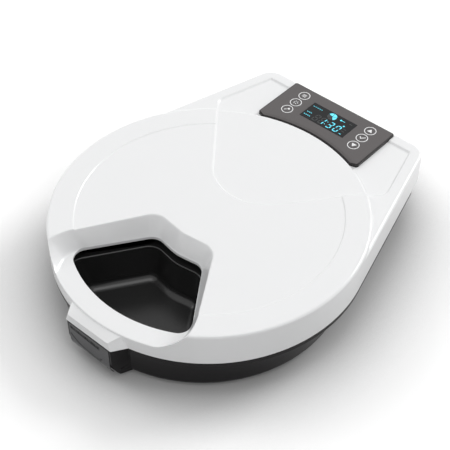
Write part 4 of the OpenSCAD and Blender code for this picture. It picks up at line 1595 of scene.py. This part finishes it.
    def rings(self) -> None:
        """Prints a ring round each key."""
        draft = Draft()
        inner, outer = self.ring_r
        low, high = self.top_z - self.print_sunk, self.top_z + self.print_h
        section = ((inner, low), (outer, low), (outer, high), (inner, high))
        for _, x, y in self.keys():
            rings = [level(circle((x, y), radius, 64), z) for radius, z in section]
            draft.loft([*rings, rings[0]])
        finished("key_rings", draft.mesh("key_rings"), Finish.LEGEND, Body.COVER)

    def marks(self, name: str) -> list[Points]:
        """Outlines of one key's generic mark, about the key's middle.

        Args:
            name: The key's name.

        Returns:
            The outlines.
        """
        bar = box_outline(4.4, 0.7)
        if name == "up":
            return [rounded([(-2.5, -1.7), (2.5, -1.7), (0, 2.3)], [0.3] * 3, 3)]
        if name == "down":
            return [rounded([(0, -2.3), (2.5, 1.7), (-2.5, 1.7)], [0.3] * 3, 3)]
        if name == "ok":
            tick = [(-2.6, 0.5), (-0.6, -1.7), (2.8, 1.9), (2.2, 2.5), (-0.6, -0.5), (-2.0, 1.1)]
            return [np.array(tick)]
        if name == "set":
            spokes = [turned(bar * [1.05, 1.0], 60 * k) for k in range(3)]
            return [*spokes, circle((0, 0), 1.25, 24)]
        if name == "view":
            return [circle((1.0, 1.0), 1.15, 24), turned(bar * [0.6, 1.1], 45) + [-1.1, -1.1]]
        return [bar * [0.9, 0.9] + [0, y] for y in (-1.3, 0, 1.3)]

    def key(self, name: str, x: float, y: float) -> None:
        """Makes one key cap with its mark.

        Args:
            name: The key's name.
            x: Its place across.
            y: Its place towards the rear.
        """
        top = self.top_z + self.key_rise
        stem = [*self.key_stem, (self.key_r, self.key_stem[-1][1])]
        steps = edge_steps(self.key_edge, QUARTER[::2])
        rounding = [(self.key_r - inset, top - drop) for inset, drop in steps]
        draft = Draft().turned([*stem, *rounding, (0, top)], 48, (x, y))
        body = f"{name}_button"
        finished(f"{name}_key_cap", draft.mesh("key"), Finish.KEY, body, [f"{name}_key"])
        shapes = [mark * self.mark_size + [x, y] for mark in self.marks(name)]
        self.printed(f"{name}_key_mark", shapes, Finish.LEGEND, body, top, self.print_h)

    def build(self) -> None:
        """Makes the panel's pieces."""
        self.plate()
        self.rings()
        for name, x, y in self.keys():
            self.key(name, x, y)
        Display(self).build()


def turned(points: Points, degrees: float) -> Points:
    """Points turned about the origin."""
    c, s = math.cos(math.radians(degrees)), math.sin(math.radians(degrees))
    return points @ np.array([[c, s], [-s, c]])


@dataclass
class Display:
    """Glossy display with a clock, faint unused digits, a five-part meal wheel and small marks."""

    panel: ControlPanel
    lift: float = 0.12
    slant: float = 0.16
    digit: tuple[float, float] = (5.7, 10.8)
    stroke: float = 1.12
    gap: float = 0.18
    meal_r: float = 5.3
    meal_gap: float = 3.0
    meal_at: tuple[float, float] = (0.50, 0.75)
    meals_left: tuple[int, ...] = (0, 1, 4)
    row: float = 0.29
    digits: tuple[tuple[float, str], ...] = ((0.30, ""), (0.435, "bc"), (0.62, "abgcd"), (0.775, "abcdef"))
    figure_h: float = 0.02

    def spot(self, across: float, up: float) -> Points:
        """Place on the display from shares of its width and depth."""
        width, depth = self.panel.screen
        return np.array([(across - 0.5) * width, self.panel.screen_y + (up - 0.5) * depth])

    def segments(self, which: Sequence[str]) -> list[Points]:
        """Outlines of a digit's lit strokes, about its middle, slanted to the right.

        Args:
            which: The strokes' letters, from a at the top to g in the middle.

        Returns:
            The outlines.
        """
        w, h, t = self.digit[0] / 2, self.digit[1] / 2, self.stroke / 2
        near, far = t + self.gap, 2 * t + self.gap
        ends = [[far - w, -t], [w - far, -t], [w - near, 0], [w - far, t], [far - w, t], [near - w, 0]]
        flat = np.array(ends)
        tall = np.array([[0, near], [t, far], [t, h - far], [0, h - near], [-t, h - far], [-t, far]])
        parts = {
            "a": flat + [0, h - t], "g": flat, "d": flat + [0, -h + t],
            "b": tall + [w - t, 0], "f": tall + [-w + t, 0],
            "c": tall * [1, -1] + [w - t, 0], "e": tall * [1, -1] + [-w + t, 0],
        }
        slant = np.array([[1, 0], [self.slant, 1]])
        shapes = []
        for part in which:
            shape = parts[part] @ slant
            area = np.sum(shape[:, 0] * np.roll(shape[:, 1], -1) - shape[:, 1] * np.roll(shape[:, 0], -1))
            shapes.append(shape if area > 0 else shape[::-1])
        return shapes

    def wheel(self, lit: Sequence[int]) -> list[Points]:
        """Outlines of some of the meal wheel's five parts.

        Args:
            lit: Which parts.

        Returns:
            The outlines, on the display.
        """
        shapes = []
        for k in lit:
            middle, half = 54 - 72 * k, 36 - self.meal_gap
            edge = arc((0, 0), self.meal_r, middle - half, middle + half, 10)
            shapes.append(np.concatenate([[0.5 * direction(middle)], edge]))
        return [shape + self.spot(*self.meal_at) for shape in shapes]

    def dash(self, across: float, up: float, width: float, height: float) -> Points:
        """Outline of a small bar on the display."""
        return box_outline(width, height, self.spot(across, up))

    def build(self) -> None:
        """Makes the display's glass and its marks."""
        panel = self.panel
        low = panel.top_z + self.lift
        corners = box_outline(*panel.screen, (0, panel.screen_y))
        glass = Draft().plate(rounded(corners, [0.4] * 4, 3), panel.top_z - 1.5, low, 0.15)
        finished("screen_glass", glass.mesh("screen_glass"), Finish.SCREEN, Body.COVER, ["display_window"])
        lit, ghost = [], []
        for across, strokes in self.digits:
            unlit = [stroke for stroke in "abcdefg" if stroke not in strokes]
            lit += [shape + self.spot(across, self.row) for shape in self.segments(strokes)]
            ghost += [shape + self.spot(across, self.row) for shape in self.segments(unlit)]
        lit += [circle(self.spot(0.525, self.row + k) + [5 * k, 0], 0.55, 16) for k in (-0.09, 0.09)]
        lit += self.wheel(self.meals_left)
        ghost += self.wheel([k for k in range(5) if k not in self.meals_left])
        lit += [self.dash(0.06 + 0.045 * k, 0.80, 1.7, 0.6) for k in range(5)]
        lit += [self.dash(0.06 + 0.04 * k, 0.38, 1.5, 0.8) for k in range(3)]
        lit += [self.dash(0.05 + 0.04 * k, 0.19, 1.5, 0.8) for k in range(4)]
        lit += [self.dash(0.73, 0.80, 5.6, 0.6), circle(self.spot(0.69, 0.80), 1.1, 16)]
        lit += [turned(box_outline(1.8, 1.8), 45) + self.spot(0.83, 0.58), self.dash(0.90, 0.12, 2.2, 0.9)]
        ghost += [self.dash(0.90, up, 3.6, 1.0) for up in (0.84, 0.44, 0.30)]
        panel.printed("screen_figures", lit, Finish.LIT, Body.COVER, low, self.figure_h)
        panel.printed("screen_faint_figures", ghost, Finish.GHOST, Body.COVER, low, self.figure_h)


# Food tray


@dataclass
class Tray:
    """Turning tray with five meal compartments, built as one slice that is repeated."""

    meals: int = 5
    radius: float = 145.0
    top_z: float = 50.0
    floor_z: float = 9.6
    wall: float = 1.6
    inner_r: float = 49.5
    outer_r: float = 141.0
    angle: float = 34.3
    bump_r: float = 15.0
    bump_rise: float = 3.0
    corner_r: float = 14.0
    rim_r: float = 1.3
    foot_r: float = 9.0
    lean: float = 2.6
    outer_lean: float = 8.0
    rim_fold: tuple[tuple[float, float], ...] = ((0, 3.0), (1.0, 3.4), (1.6, 3.0))

    def ring(self, shrink: float, outer_shrink: float) -> Points:
        """Compartment's outline, shrunk at its sides and a further distance at its outer wall.

        Args:
            shrink: How far it is shrunk.
            outer_shrink: The further distance.

        Returns:
            The outline.
        """
        return slice_plan(
            self.inner_r + shrink,
            -self.inner_r + self.bump_rise - shrink,
            self.bump_r - shrink,
            self.angle,
            -shrink,
            self.outer_r - shrink - outer_shrink,
            self.corner_r - shrink,
        )

    def compartment(self, wall: float) -> list[Points]:
        """Rings from the rim down to the floor, for the inside or, with a wall, for the outside.

        Args:
            wall: Thickness of the wall, nought for the inside.

        Returns:
            The rings, from the top.
        """
        rings = []
        for drop, inset in edge_steps(self.rim_r):
            rings.append(level(self.ring(-inset - wall, 0), self.top_z - drop - wall))
        top, low = self.top_z - self.rim_r, self.floor_z + self.foot_r
        for share in (0.33, 0.66):
            ring = self.ring(self.lean * share - wall, self.outer_lean * share)
            rings.append(level(ring, between((top, low), share)))
        for turn in QUARTER:
            shrink = self.lean + self.foot_r * (1 - math.cos(turn)) - wall
            z = low - self.foot_r * math.sin(turn) - wall
            rings.append(level(self.ring(shrink, self.outer_lean), z))
        return rings

    def slice_arc(self, radius: float) -> Points:
        """Arc over one slice, at the front of the tray."""
        half = 180 / self.meals
        return arc((0, 0), radius, -90 - half, -90 + half, 24)

    def sector(self, radius: float) -> Points:
        """Outline of one slice of the tray's flat top.

        Args:
            radius: Radius of the flat top.

        Returns:
            The outline.
        """
        edge = self.slice_arc(radius)
        spokes = np.linspace(0, 1, 9)[1:-1, None]
        return np.concatenate([[[0, 0]], edge[0] * spokes, edge, edge[-1] * spokes[::-1]])

    def land(self, draft: Draft, hole: Points, z: float, radius: float, flip: bool) -> None:
        """Adds the flat part of one slice round its compartment.

        Args:
            draft: The draft that it is added to.
            hole: The compartment's outline.
            z: Its height.
            radius: Radius of the flat top.
            flip: Whether it faces down.
        """
        guide = (self.slice_arc(radius - 0.4), False)
        spots, triangles = triangulated(self.sector(radius), [hole], [guide])
        draft.add(level(spots, z), triangles[:, ::-1] if flip else triangles)

    def rim(self, draft: Draft) -> None:
        """Adds the rolled outer rim of one slice.

        Args:
            draft: The draft that it is added to.
        """
        roll = self.wall
        rounding = [(inset, drop) for drop, inset in edge_steps(roll)]
        section = [*rounding, *self.rim_fold, (roll, roll)]
        rings = [level(self.slice_arc(self.radius - inset), self.top_z - drop) for inset, drop in section]
        draft.loft(rings, closed=False)

    def build(self) -> None:
        """Makes the tray and its drive parts."""
        draft = Draft()
        inside, outside = self.compartment(0), self.compartment(self.wall)
        self.land(draft, inside[0][:, :2], self.top_z, self.radius - self.wall, False)
        self.land(draft, outside[0][:, :2], self.top_z - self.wall, self.radius - self.wall, True)
        draft.loft(inside, caps=(False, True)).loft(outside, caps=(False, True))
        self.rim(draft)
        mesh = turned_copies(draft.mesh("tray_slice"), self.meals, 360 / self.meals, 0.0, Finish.TRAY_BLACK)
        clean(mesh, True)
        finished("tray_moulding", mesh, Finish.TRAY_BLACK, Body.TRAY, ["food_tray"], 40.0)
        polished("tray_spindle", "drive_spindle", Finish.STEEL, Body.TRAY, 0.15)
        polished("tray_gear", "drive_gear", Finish.NYLON, Body.TRAY)
        polished("index_disc", "index_cam", Finish.NYLON, Body.TRAY)
        polished("pinion", "motor_pinion", Finish.BRASS, Body.PINION)


# Base


@dataclass
class Latch:
    """Latch flap under the tab: a grey plate with a ribbed strip and a curved groove over the flap, which
    is a darkened copy of the latch's grey: painted shade on its sides, in the strip and behind the groove.
    """

    half: float = 26.0
    low_z: float = 9.5
    high_z: float = 44.5
    face: float = 164.92
    turn_z: float = 22.0
    drawn: float = 11.0
    thick: float = 0.6
    corner_r: float = 2.5
    strip: tuple[tuple[float, float], ...] = ((-24.6, 38.4), (13.4, 35.6), (13.8, 40.6), (-24.6, 42.3))
    groove: tuple[tuple[float, float], ...] = (
        (-24.6, 31.4), (-23.3, 29.8), (-19.4, 27.0), (-13.8, 23.8), (-5.7, 21.7),
        (2.5, 21.0), (9.6, 20.8), (13.1, 21.0), (15.3, 24.4),
    )
    groove_half: float = 0.6
    rib_pitch: float = 1.9
    rib_count: int = 20
    rib_w: float = 0.9
    rib_deep: tuple[float, float] = (0.06, 0.5)
    rib_z: tuple[float, float] = (35.4, 42.4)

    def front(self, z: Points) -> Points:
        """Place of the flap's face at a height: upright at the top and drawn in below."""
        return -self.face + self.drawn * (np.maximum(0, self.turn_z - z) / (self.turn_z - 2)) ** 1.7

    def groove_outline(self) -> Points:
        """Outline of the groove, in a view from the front.

        Returns:
            The outline.
        """
        path = np.array(self.groove)
        steps, knots = np.linspace(0, 1, 33), np.linspace(0, 1, len(path))
        fine = np.stack([np.interp(steps, knots, axis) for axis in path.T], 1)
        for _ in range(3):
            fine[1:-1] = 0.25 * fine[:-2] + 0.5 * fine[1:-1] + 0.25 * fine[2:]
        across = outward(np.gradient(fine, axis=0)) * self.groove_half
        return np.concatenate([fine + across, (fine - across)[::-1]])

    def plate(self) -> None:
        """Makes the grey plate with its two openings, through which the darkened body shows as painted
        shade.
        """
        w = self.half
        corners = [(-w, self.low_z), (w, self.low_z), (w, self.high_z), (-w, self.high_z)]
        outline = rounded(corners, [self.corner_r, self.corner_r, 0.3, 0.3], 6)
        heights = np.arange(self.low_z + 1, self.turn_z + 1, 1.0)
        levels = [(np.array([[-w - 1, z], [w + 1, z]]), False) for z in heights]
        spots, triangles = triangulated(outline, [np.array(self.strip), self.groove_outline()], levels)
        x, z = spots.T
        near, far = (np.column_stack([x, self.front(z) + deep, z]) for deep in (0, self.thick))
        draft = Draft().add(near, triangles).walls(triangles, near, far).add(far, triangles[:, ::-1])
        finished("latch_plate", draft.mesh("latch_plate"), Finish.LATCH_GREY, Body.LATCH)

    def ribs(self) -> None:
        """Makes the upright ribs in the strip, in the latch's darkened grey, which paints shade into the
        strip.
        """
        near, far = self.rib_deep
        middle = (self.strip[0][0] + 1.0, (near + far) / 2 - self.face)
        rib = Draft().plate(box_outline(self.rib_w, far - near, middle), *self.rib_z).mesh("latch_rib")
        values = {"Count": self.rib_count, "Pitch": self.rib_pitch * MM}
        mesh = line_recipe().run(rib, {**values, "Material": Finish.LATCH_PAINTED_SHADE.dress()})
        finished("latch_ribs", mesh, Finish.LATCH_PAINTED_SHADE, Body.LATCH)

    def build(self) -> None:
        """Makes the latch's pieces."""
        # The latch body takes the darkened grey: painted shade on its sides and behind the plate's
        # openings.
        polished("latch_body", "latch_flap", Finish.LATCH_PAINTED_SHADE, Body.LATCH)
        self.plate()
        self.ribs()


@dataclass
class Base:
    """Black base with its feet, hinges, battery door and drive."""

    rim_start: float = -75.0
    rim_run: float = 150.0
    rim_section: tuple[tuple[float, float], ...] = (
        (4.6, 45.7), (0.7, 45.7), (0.4, 45.4), (0.4, 41.0), (0.8, 40.5), (5.8, 39.0),
    )
    pin_cap_at: tuple[float, float, float] = (30.25, -153.5, 13)
    pin_cap_aim: tuple[float, float, float] = (0.94, -0.34, 0)
    foot: tuple[tuple[float, float], ...] = (
        (0, 1.95), (7.9, 1.95), (8.0, 1.2), (7.8, 0.4), (7.2, 0.02), (4.4, 0.0), (4.0, 0.5), (0, 0.6)
    )
    feet_at: tuple[tuple[float, ...], ...] = ((79.8, -94.6, 0), (100.8, 50.4, 0), (72, 170, 0))
    bay_screws_at: tuple[tuple[float, ...], ...] = ((76, 178, 43.0), (112.006, 112.006, 43.0))

    def build(self) -> None:
        """Makes the base's pieces."""
        polished("tub", "base_tub", Finish.BASE_BLACK, Body.BASE)
        polished("battery_door_panel", "battery_door", Finish.BASE_BLACK, Body.DOOR)
        polished("rear_bay_plate", "bay_cover", Finish.CHARCOAL, Body.BASE, 0.2)
        polished("drive_cap", "drive_housing", Finish.CHARCOAL, Body.BASE, 0.3)
        polished("battery_holder", "battery_box", Finish.INNER_BLACK, Body.BASE)
        polished("hinge_leaves", "cover_hinges", Finish.CHARCOAL, Body.COVER, 0.2)
        cap = Draft().turned([(0, -0.5), (1.5, -0.5), (1.9, 0), (1.8, 0.3), (1.2, 0.45), (0, 0.5)], 32)
        caps = on_points(cap, mirrored([self.pin_cap_at]), mirrored([self.pin_cap_aim]), Finish.BASE_BLACK)
        finished("latch_pin_caps", caps, Finish.BASE_BLACK, Body.BASE)
        self.seam_rim()
        self.feet()
        self.screws()

    def seam_rim(self) -> None:
        """Makes the tub's rim under the cover's edge, along both sides from the latch to the rear."""
        cover = Cover()
        last = side_turn(cover.radius, 0, cover.corner, cover.corner_r)
        turns = np.radians(np.concatenate([np.linspace(self.rim_start, last, 70), np.full(12, last)]))
        along = np.concatenate([np.zeros(70), np.linspace(0, self.rim_run, 13)[1:]])
        out = np.stack([np.cos(turns), np.sin(turns)], 1)
        edge = cover.radius * out + along[:, None] * (out[:, ::-1] * [-1, 1])
        draft = Draft()
        for side in (1, -1):
            rings = []
            for spot, normal in zip(edge * [side, 1], out * [side, 1]):
                rings.append(np.array([[*(spot - inset * normal), z] for inset, z in self.rim_section]))
            draft.loft(rings, caps=(True, True))
        finished("tub_seam_rim", draft.mesh("tub_seam_rim"), Finish.BASE_BLACK, Body.BASE)

    def feet(self) -> None:
        """Makes the rubber feet, with a rounded edge and a hollow middle."""
        places = mirrored(self.feet_at)
        mesh = on_points(Draft().turned(self.foot, 40), places, [(0, 0, 1)] * len(places), Finish.RUBBER)
        finished("feet", mesh, Finish.RUBBER, Body.BASE, ["rubber_feet"])

    def screw(self, head_r: float, head_h: float, shank_r: float, shank: float) -> Draft:
        """Drafts a screw with a domed head and a cross in it, looking along +Z from its seat.

        Args:
            head_r: Radius of the head.
            head_h: Height of the head.
            shank_r: Radius of the shank.
            shank: Length of the shank.

        Returns:
            The draft.
        """
        cross = np.array([(0.9, 0.28), (0.28, 0.28), (0.28, 0.9)]) * head_r * 0.62
        outline = np.concatenate([turned(cross, 90 * k) for k in range(4)])
        draft = Draft()
        shares = ((1, 0), (1, 0.4), (0.93, 0.75), (0.78, 1))
        dome = [(head_r * wide, head_h * high) for wide, high in shares]
        rings = [level(circle((0, 0), r, 32), z) for r, z in [(shank_r, -shank), (shank_r, 0.0), *dome]]
        draft.loft(rings, caps=(True, False))
        top, triangles = triangulated(circle((0, 0), dome[-1][0], 32), [outline])
        draft.add(level(top, head_h), triangles)
        draft.loft([level(outline, head_h), level(outline * 0.8, head_h * 0.35)], caps=(False, True))
        return draft

    def screws(self) -> None:
        """Makes the screws of the drive cap, the bay plate and the hinges."""
        drive = [(*(42.5 * direction(angle)), 6.5) for angle in range(30, 331, 60)]
        hinge = [(x, 210.4, z) for x in (-62, 62) for z in (54, 61)]
        small, wide, short = (2.0, 1.5, 1.0, 1.9), (2.6, 1.5, 1.4, 6.0), (2.6, 1.6, 1.0, 1.8)
        rows = (
            ("drive_screws", "housing_screws", Body.BASE, small, drive, (0, 0, 1)),
            ("bay_plate_screws", "bay_screws", Body.BASE, wide, mirrored(self.bay_screws_at), (0, 0, 1)),
            ("hinge_leaf_screws", "hinge_screws", Body.COVER, short, hinge, (0, -1, 0)),
        )
        for name, node, body, sizes, places, aim in rows:
            mesh = on_points(self.screw(*sizes), places, [aim] * len(places), Finish.STEEL)
            finished(name, mesh, Finish.STEEL, body, [node])


CARRIED_OVER: dict[str, Finish] = {
    "gear_motor": Finish.STEEL,
    "spindle_bushes": Finish.BRASS,
    "index_switch": Finish.INNER_BLACK,
    "battery_cells": Finish.CELL,
    "battery_contacts": Finish.STEEL,
    "contact_pins": Finish.BRASS,
    "hinge_pins": Finish.STEEL,
    "latch_pin": Finish.STEEL,
    "latch_spring": Finish.STEEL,
    "lcd_module": Finish.LCD_BODY,
    "circuit_board": Finish.BOARD,
    "board_screws": Finish.STEEL,
    "tact_switches": Finish.CHARCOAL,
    "contact_block": Finish.INNER_BLACK,
}


def dress_carried_over() -> None:
    """Gives each CAD node that stays as it is its finish."""
    for node, finish in CARRIED_OVER.items():
        mesh = frame["nodes"][node].data
        mesh.materials.clear()
        mesh.materials.append(finish.dress())
        LOG.info("%s keeps its CAD shape, in %s", node, finish.value.name)


# Studio


@dataclass
class Studio:
    """Pale floor, soft lights, and the camera at the photograph's angle."""

    camera_at: tuple[float, float, float] = (0.53872, -0.60627, 0.86036)
    looks_at: tuple[float, float, float] = (-0.02932, 0.03011, 0.00293)
    roll: float = -0.22
    lens: float = 92.645
    floor_half: float = 6.0
    sky: float = 0.54
    # Reach and colour ramp of the painted contact shadow, which ambient occlusion darkens into the floor's
    # colour.
    painted_shadow_reach: float = 0.22
    painted_shadow_ramp: tuple[tuple[float, float], ...] = ((0.5, 0.97), (0.5, 1.14))
    white_ramp: tuple[tuple[float, float], ...] = ((0.45, 1.6), (0.03, 1.0))
    lamps: tuple[tuple[str, tuple[float, float, float], float, float], ...] = (
        ("rear_lamp", (1.2, 4.2, 2.8), 2.0, 112.0),
        ("left_lamp", (-3.9, -0.8, 3.0), 2.2, 32.0),
        ("top_lamp", (0.9, -0.9, 5.0), 3.0, 48.0),
    )

    def camera(self) -> None:
        """Makes the camera."""
        data = bpy.data.cameras.new("camera")
        data.lens, data.sensor_width = self.lens, 36.0
        data.clip_start, data.clip_end = 0.05, 60.0
        eye = bpy.data.objects.new("camera", data)
        bpy.context.scene.collection.objects.link(eye)
        look = Vector(self.looks_at) - Vector(self.camera_at)
        turn = look.to_track_quat("-Z", "Y").to_matrix().to_4x4()
        roll = Matrix.Rotation(math.radians(self.roll), 4, "Z")
        eye.matrix_world = Matrix.Translation(self.camera_at) @ turn @ roll
        bpy.context.scene.camera = eye

    @staticmethod
    def straight_rays(tree: bpy.types.NodeTree, path: Node) -> Socket:
        """Adds a switch that is on for rays from the camera, off metal or gloss, and through glass.

        Args:
            tree: The tree that gets the switch.
            path: The tree's Light Path node.

        Returns:
            The switch's value, nought or one.
        """
        value = path.outputs["Is Camera Ray"]
        for kind in ("Is Glossy Ray", "Is Transmission Ray"):
            either = tree.nodes.new("ShaderNodeMath")
            either.operation = "MAXIMUM"
            tree.links.new(value, either.inputs[0])
            tree.links.new(path.outputs[kind], either.inputs[1])
            value = either.outputs[0]
        return value

    def floor(self) -> None:
        """Makes the floor, which shows white to the camera, keeps the lamps' shadow, and darkens near the
        feeder with a painted contact shadow.
        """
        h = self.floor_half
        mesh = bpy.data.meshes.new("floor")
        mesh.from_pydata([(-h, -h, 0), (h, -h, 0), (h, h, 0), (-h, h, 0)], [], [(0, 1, 2, 3)])
        floor = bpy.data.objects.new("floor", mesh)
        bpy.context.scene.collection.objects.link(floor)
        shader = Shader("floor_paper")
        shader.tint(shader.noise(40.0), (0.50, 0.50, 0.50), (0.52, 0.52, 0.52))
        shader.set(Roughness=0.9, Specular_IOR_Level=0.1)
        paper = shader.add("ShaderNodeBsdfDiffuse")
        # Painted contact shadow: the paper's colour seen by the camera darkens with ambient occlusion near
        # the feeder, on top of the lamps' real shadow.
        occlusion_shade = shader.add("ShaderNodeAmbientOcclusion", Distance=self.painted_shadow_reach)
        shader.join(shader.ramp(occlusion_shade.outputs["AO"], *self.painted_shadow_ramp), paper.inputs["Color"])
        lift = shader.add("ShaderNodeEmission", Color=(1, 1, 1, 1))
        away = shader.add("ShaderNodeVectorMath")
        away.operation = "LENGTH"
        shader.join(shader.place, away.inputs[0])
        shader.join(shader.ramp(away.outputs["Value"], *self.white_ramp), lift.inputs["Strength"])
        both = shader.add("ShaderNodeAddShader")
        shader.join(paper.outputs[0], both.inputs[0])
        shader.join(lift.outputs[0], both.inputs[1])
        mix = shader.add("ShaderNodeMixShader")
        shader.join(self.straight_rays(shader.tree, shader.add("ShaderNodeLightPath")), mix.inputs[0])
        shader.join(shader.surface.outputs[0], mix.inputs[1])
        shader.join(both.outputs[0], mix.inputs[2])
        shader.join(mix.outputs[0], shader.output.inputs["Surface"])
        mesh.materials.append(shader.material)

    def lamp(self, name: str, at: Spot, size: float, power: float) -> None:
        """Makes a soft square lamp that looks at the feeder.

        Args:
            name: The lamp's name.
            at: Where it stands, in metres.
            size: Its side.
            power: Its watts.
        """
        data = bpy.data.lights.new(name, "AREA")
        data.shape, data.size, data.energy = "SQUARE", size, power
        lamp = bpy.data.objects.new(name, data)
        lamp.location = at
        lamp.rotation_mode = "QUATERNION"
        lamp.rotation_quaternion = (-Vector(at)).to_track_quat("-Z", "Y")
        bpy.context.scene.collection.objects.link(lamp)

    def world(self) -> None:
        """Makes the world: soft light for the feeder, and white where the camera looks past the floor."""
        world = bpy.data.worlds.new("studio")
        bpy.context.scene.world = world
        world.use_nodes = True
        tree = world.node_tree
        soft = tree.nodes["Background"]
        kinds = ("ShaderNodeBackground", "ShaderNodeMixShader", "ShaderNodeLightPath")
        white, mix, seen = (tree.nodes.new(kind) for kind in kinds)
        soft.inputs["Color"].default_value = white.inputs["Color"].default_value = (1, 1, 1, 1)
        soft.inputs["Strength"].default_value = self.sky
        tree.links.new(self.straight_rays(tree, seen), mix.inputs[0])
        for source, entry in ((soft, 1), (white, 2)):
            tree.links.new(source.outputs[0], mix.inputs[entry])
        tree.links.new(mix.outputs[0], tree.nodes["World Output"].inputs["Surface"])

    def build(self) -> None:
        """Makes the stage."""
        self.camera()
        self.floor()
        self.world()
        for lamp in self.lamps:
            self.lamp(*lamp)
        bpy.context.scene.view_settings.view_transform = "Standard"


def main() -> None:
    """Builds the feeder and its studio."""
    logging.basicConfig(level=logging.INFO, format="%(message)s")
    Studio().build()
    for assembly in (Cover(), ControlPanel(), Tray(), Latch(), Base()):
        assembly.build()
    dress_carried_over()
    bpy.context.view_layer.update()


if __name__ == "__main__":
    main()
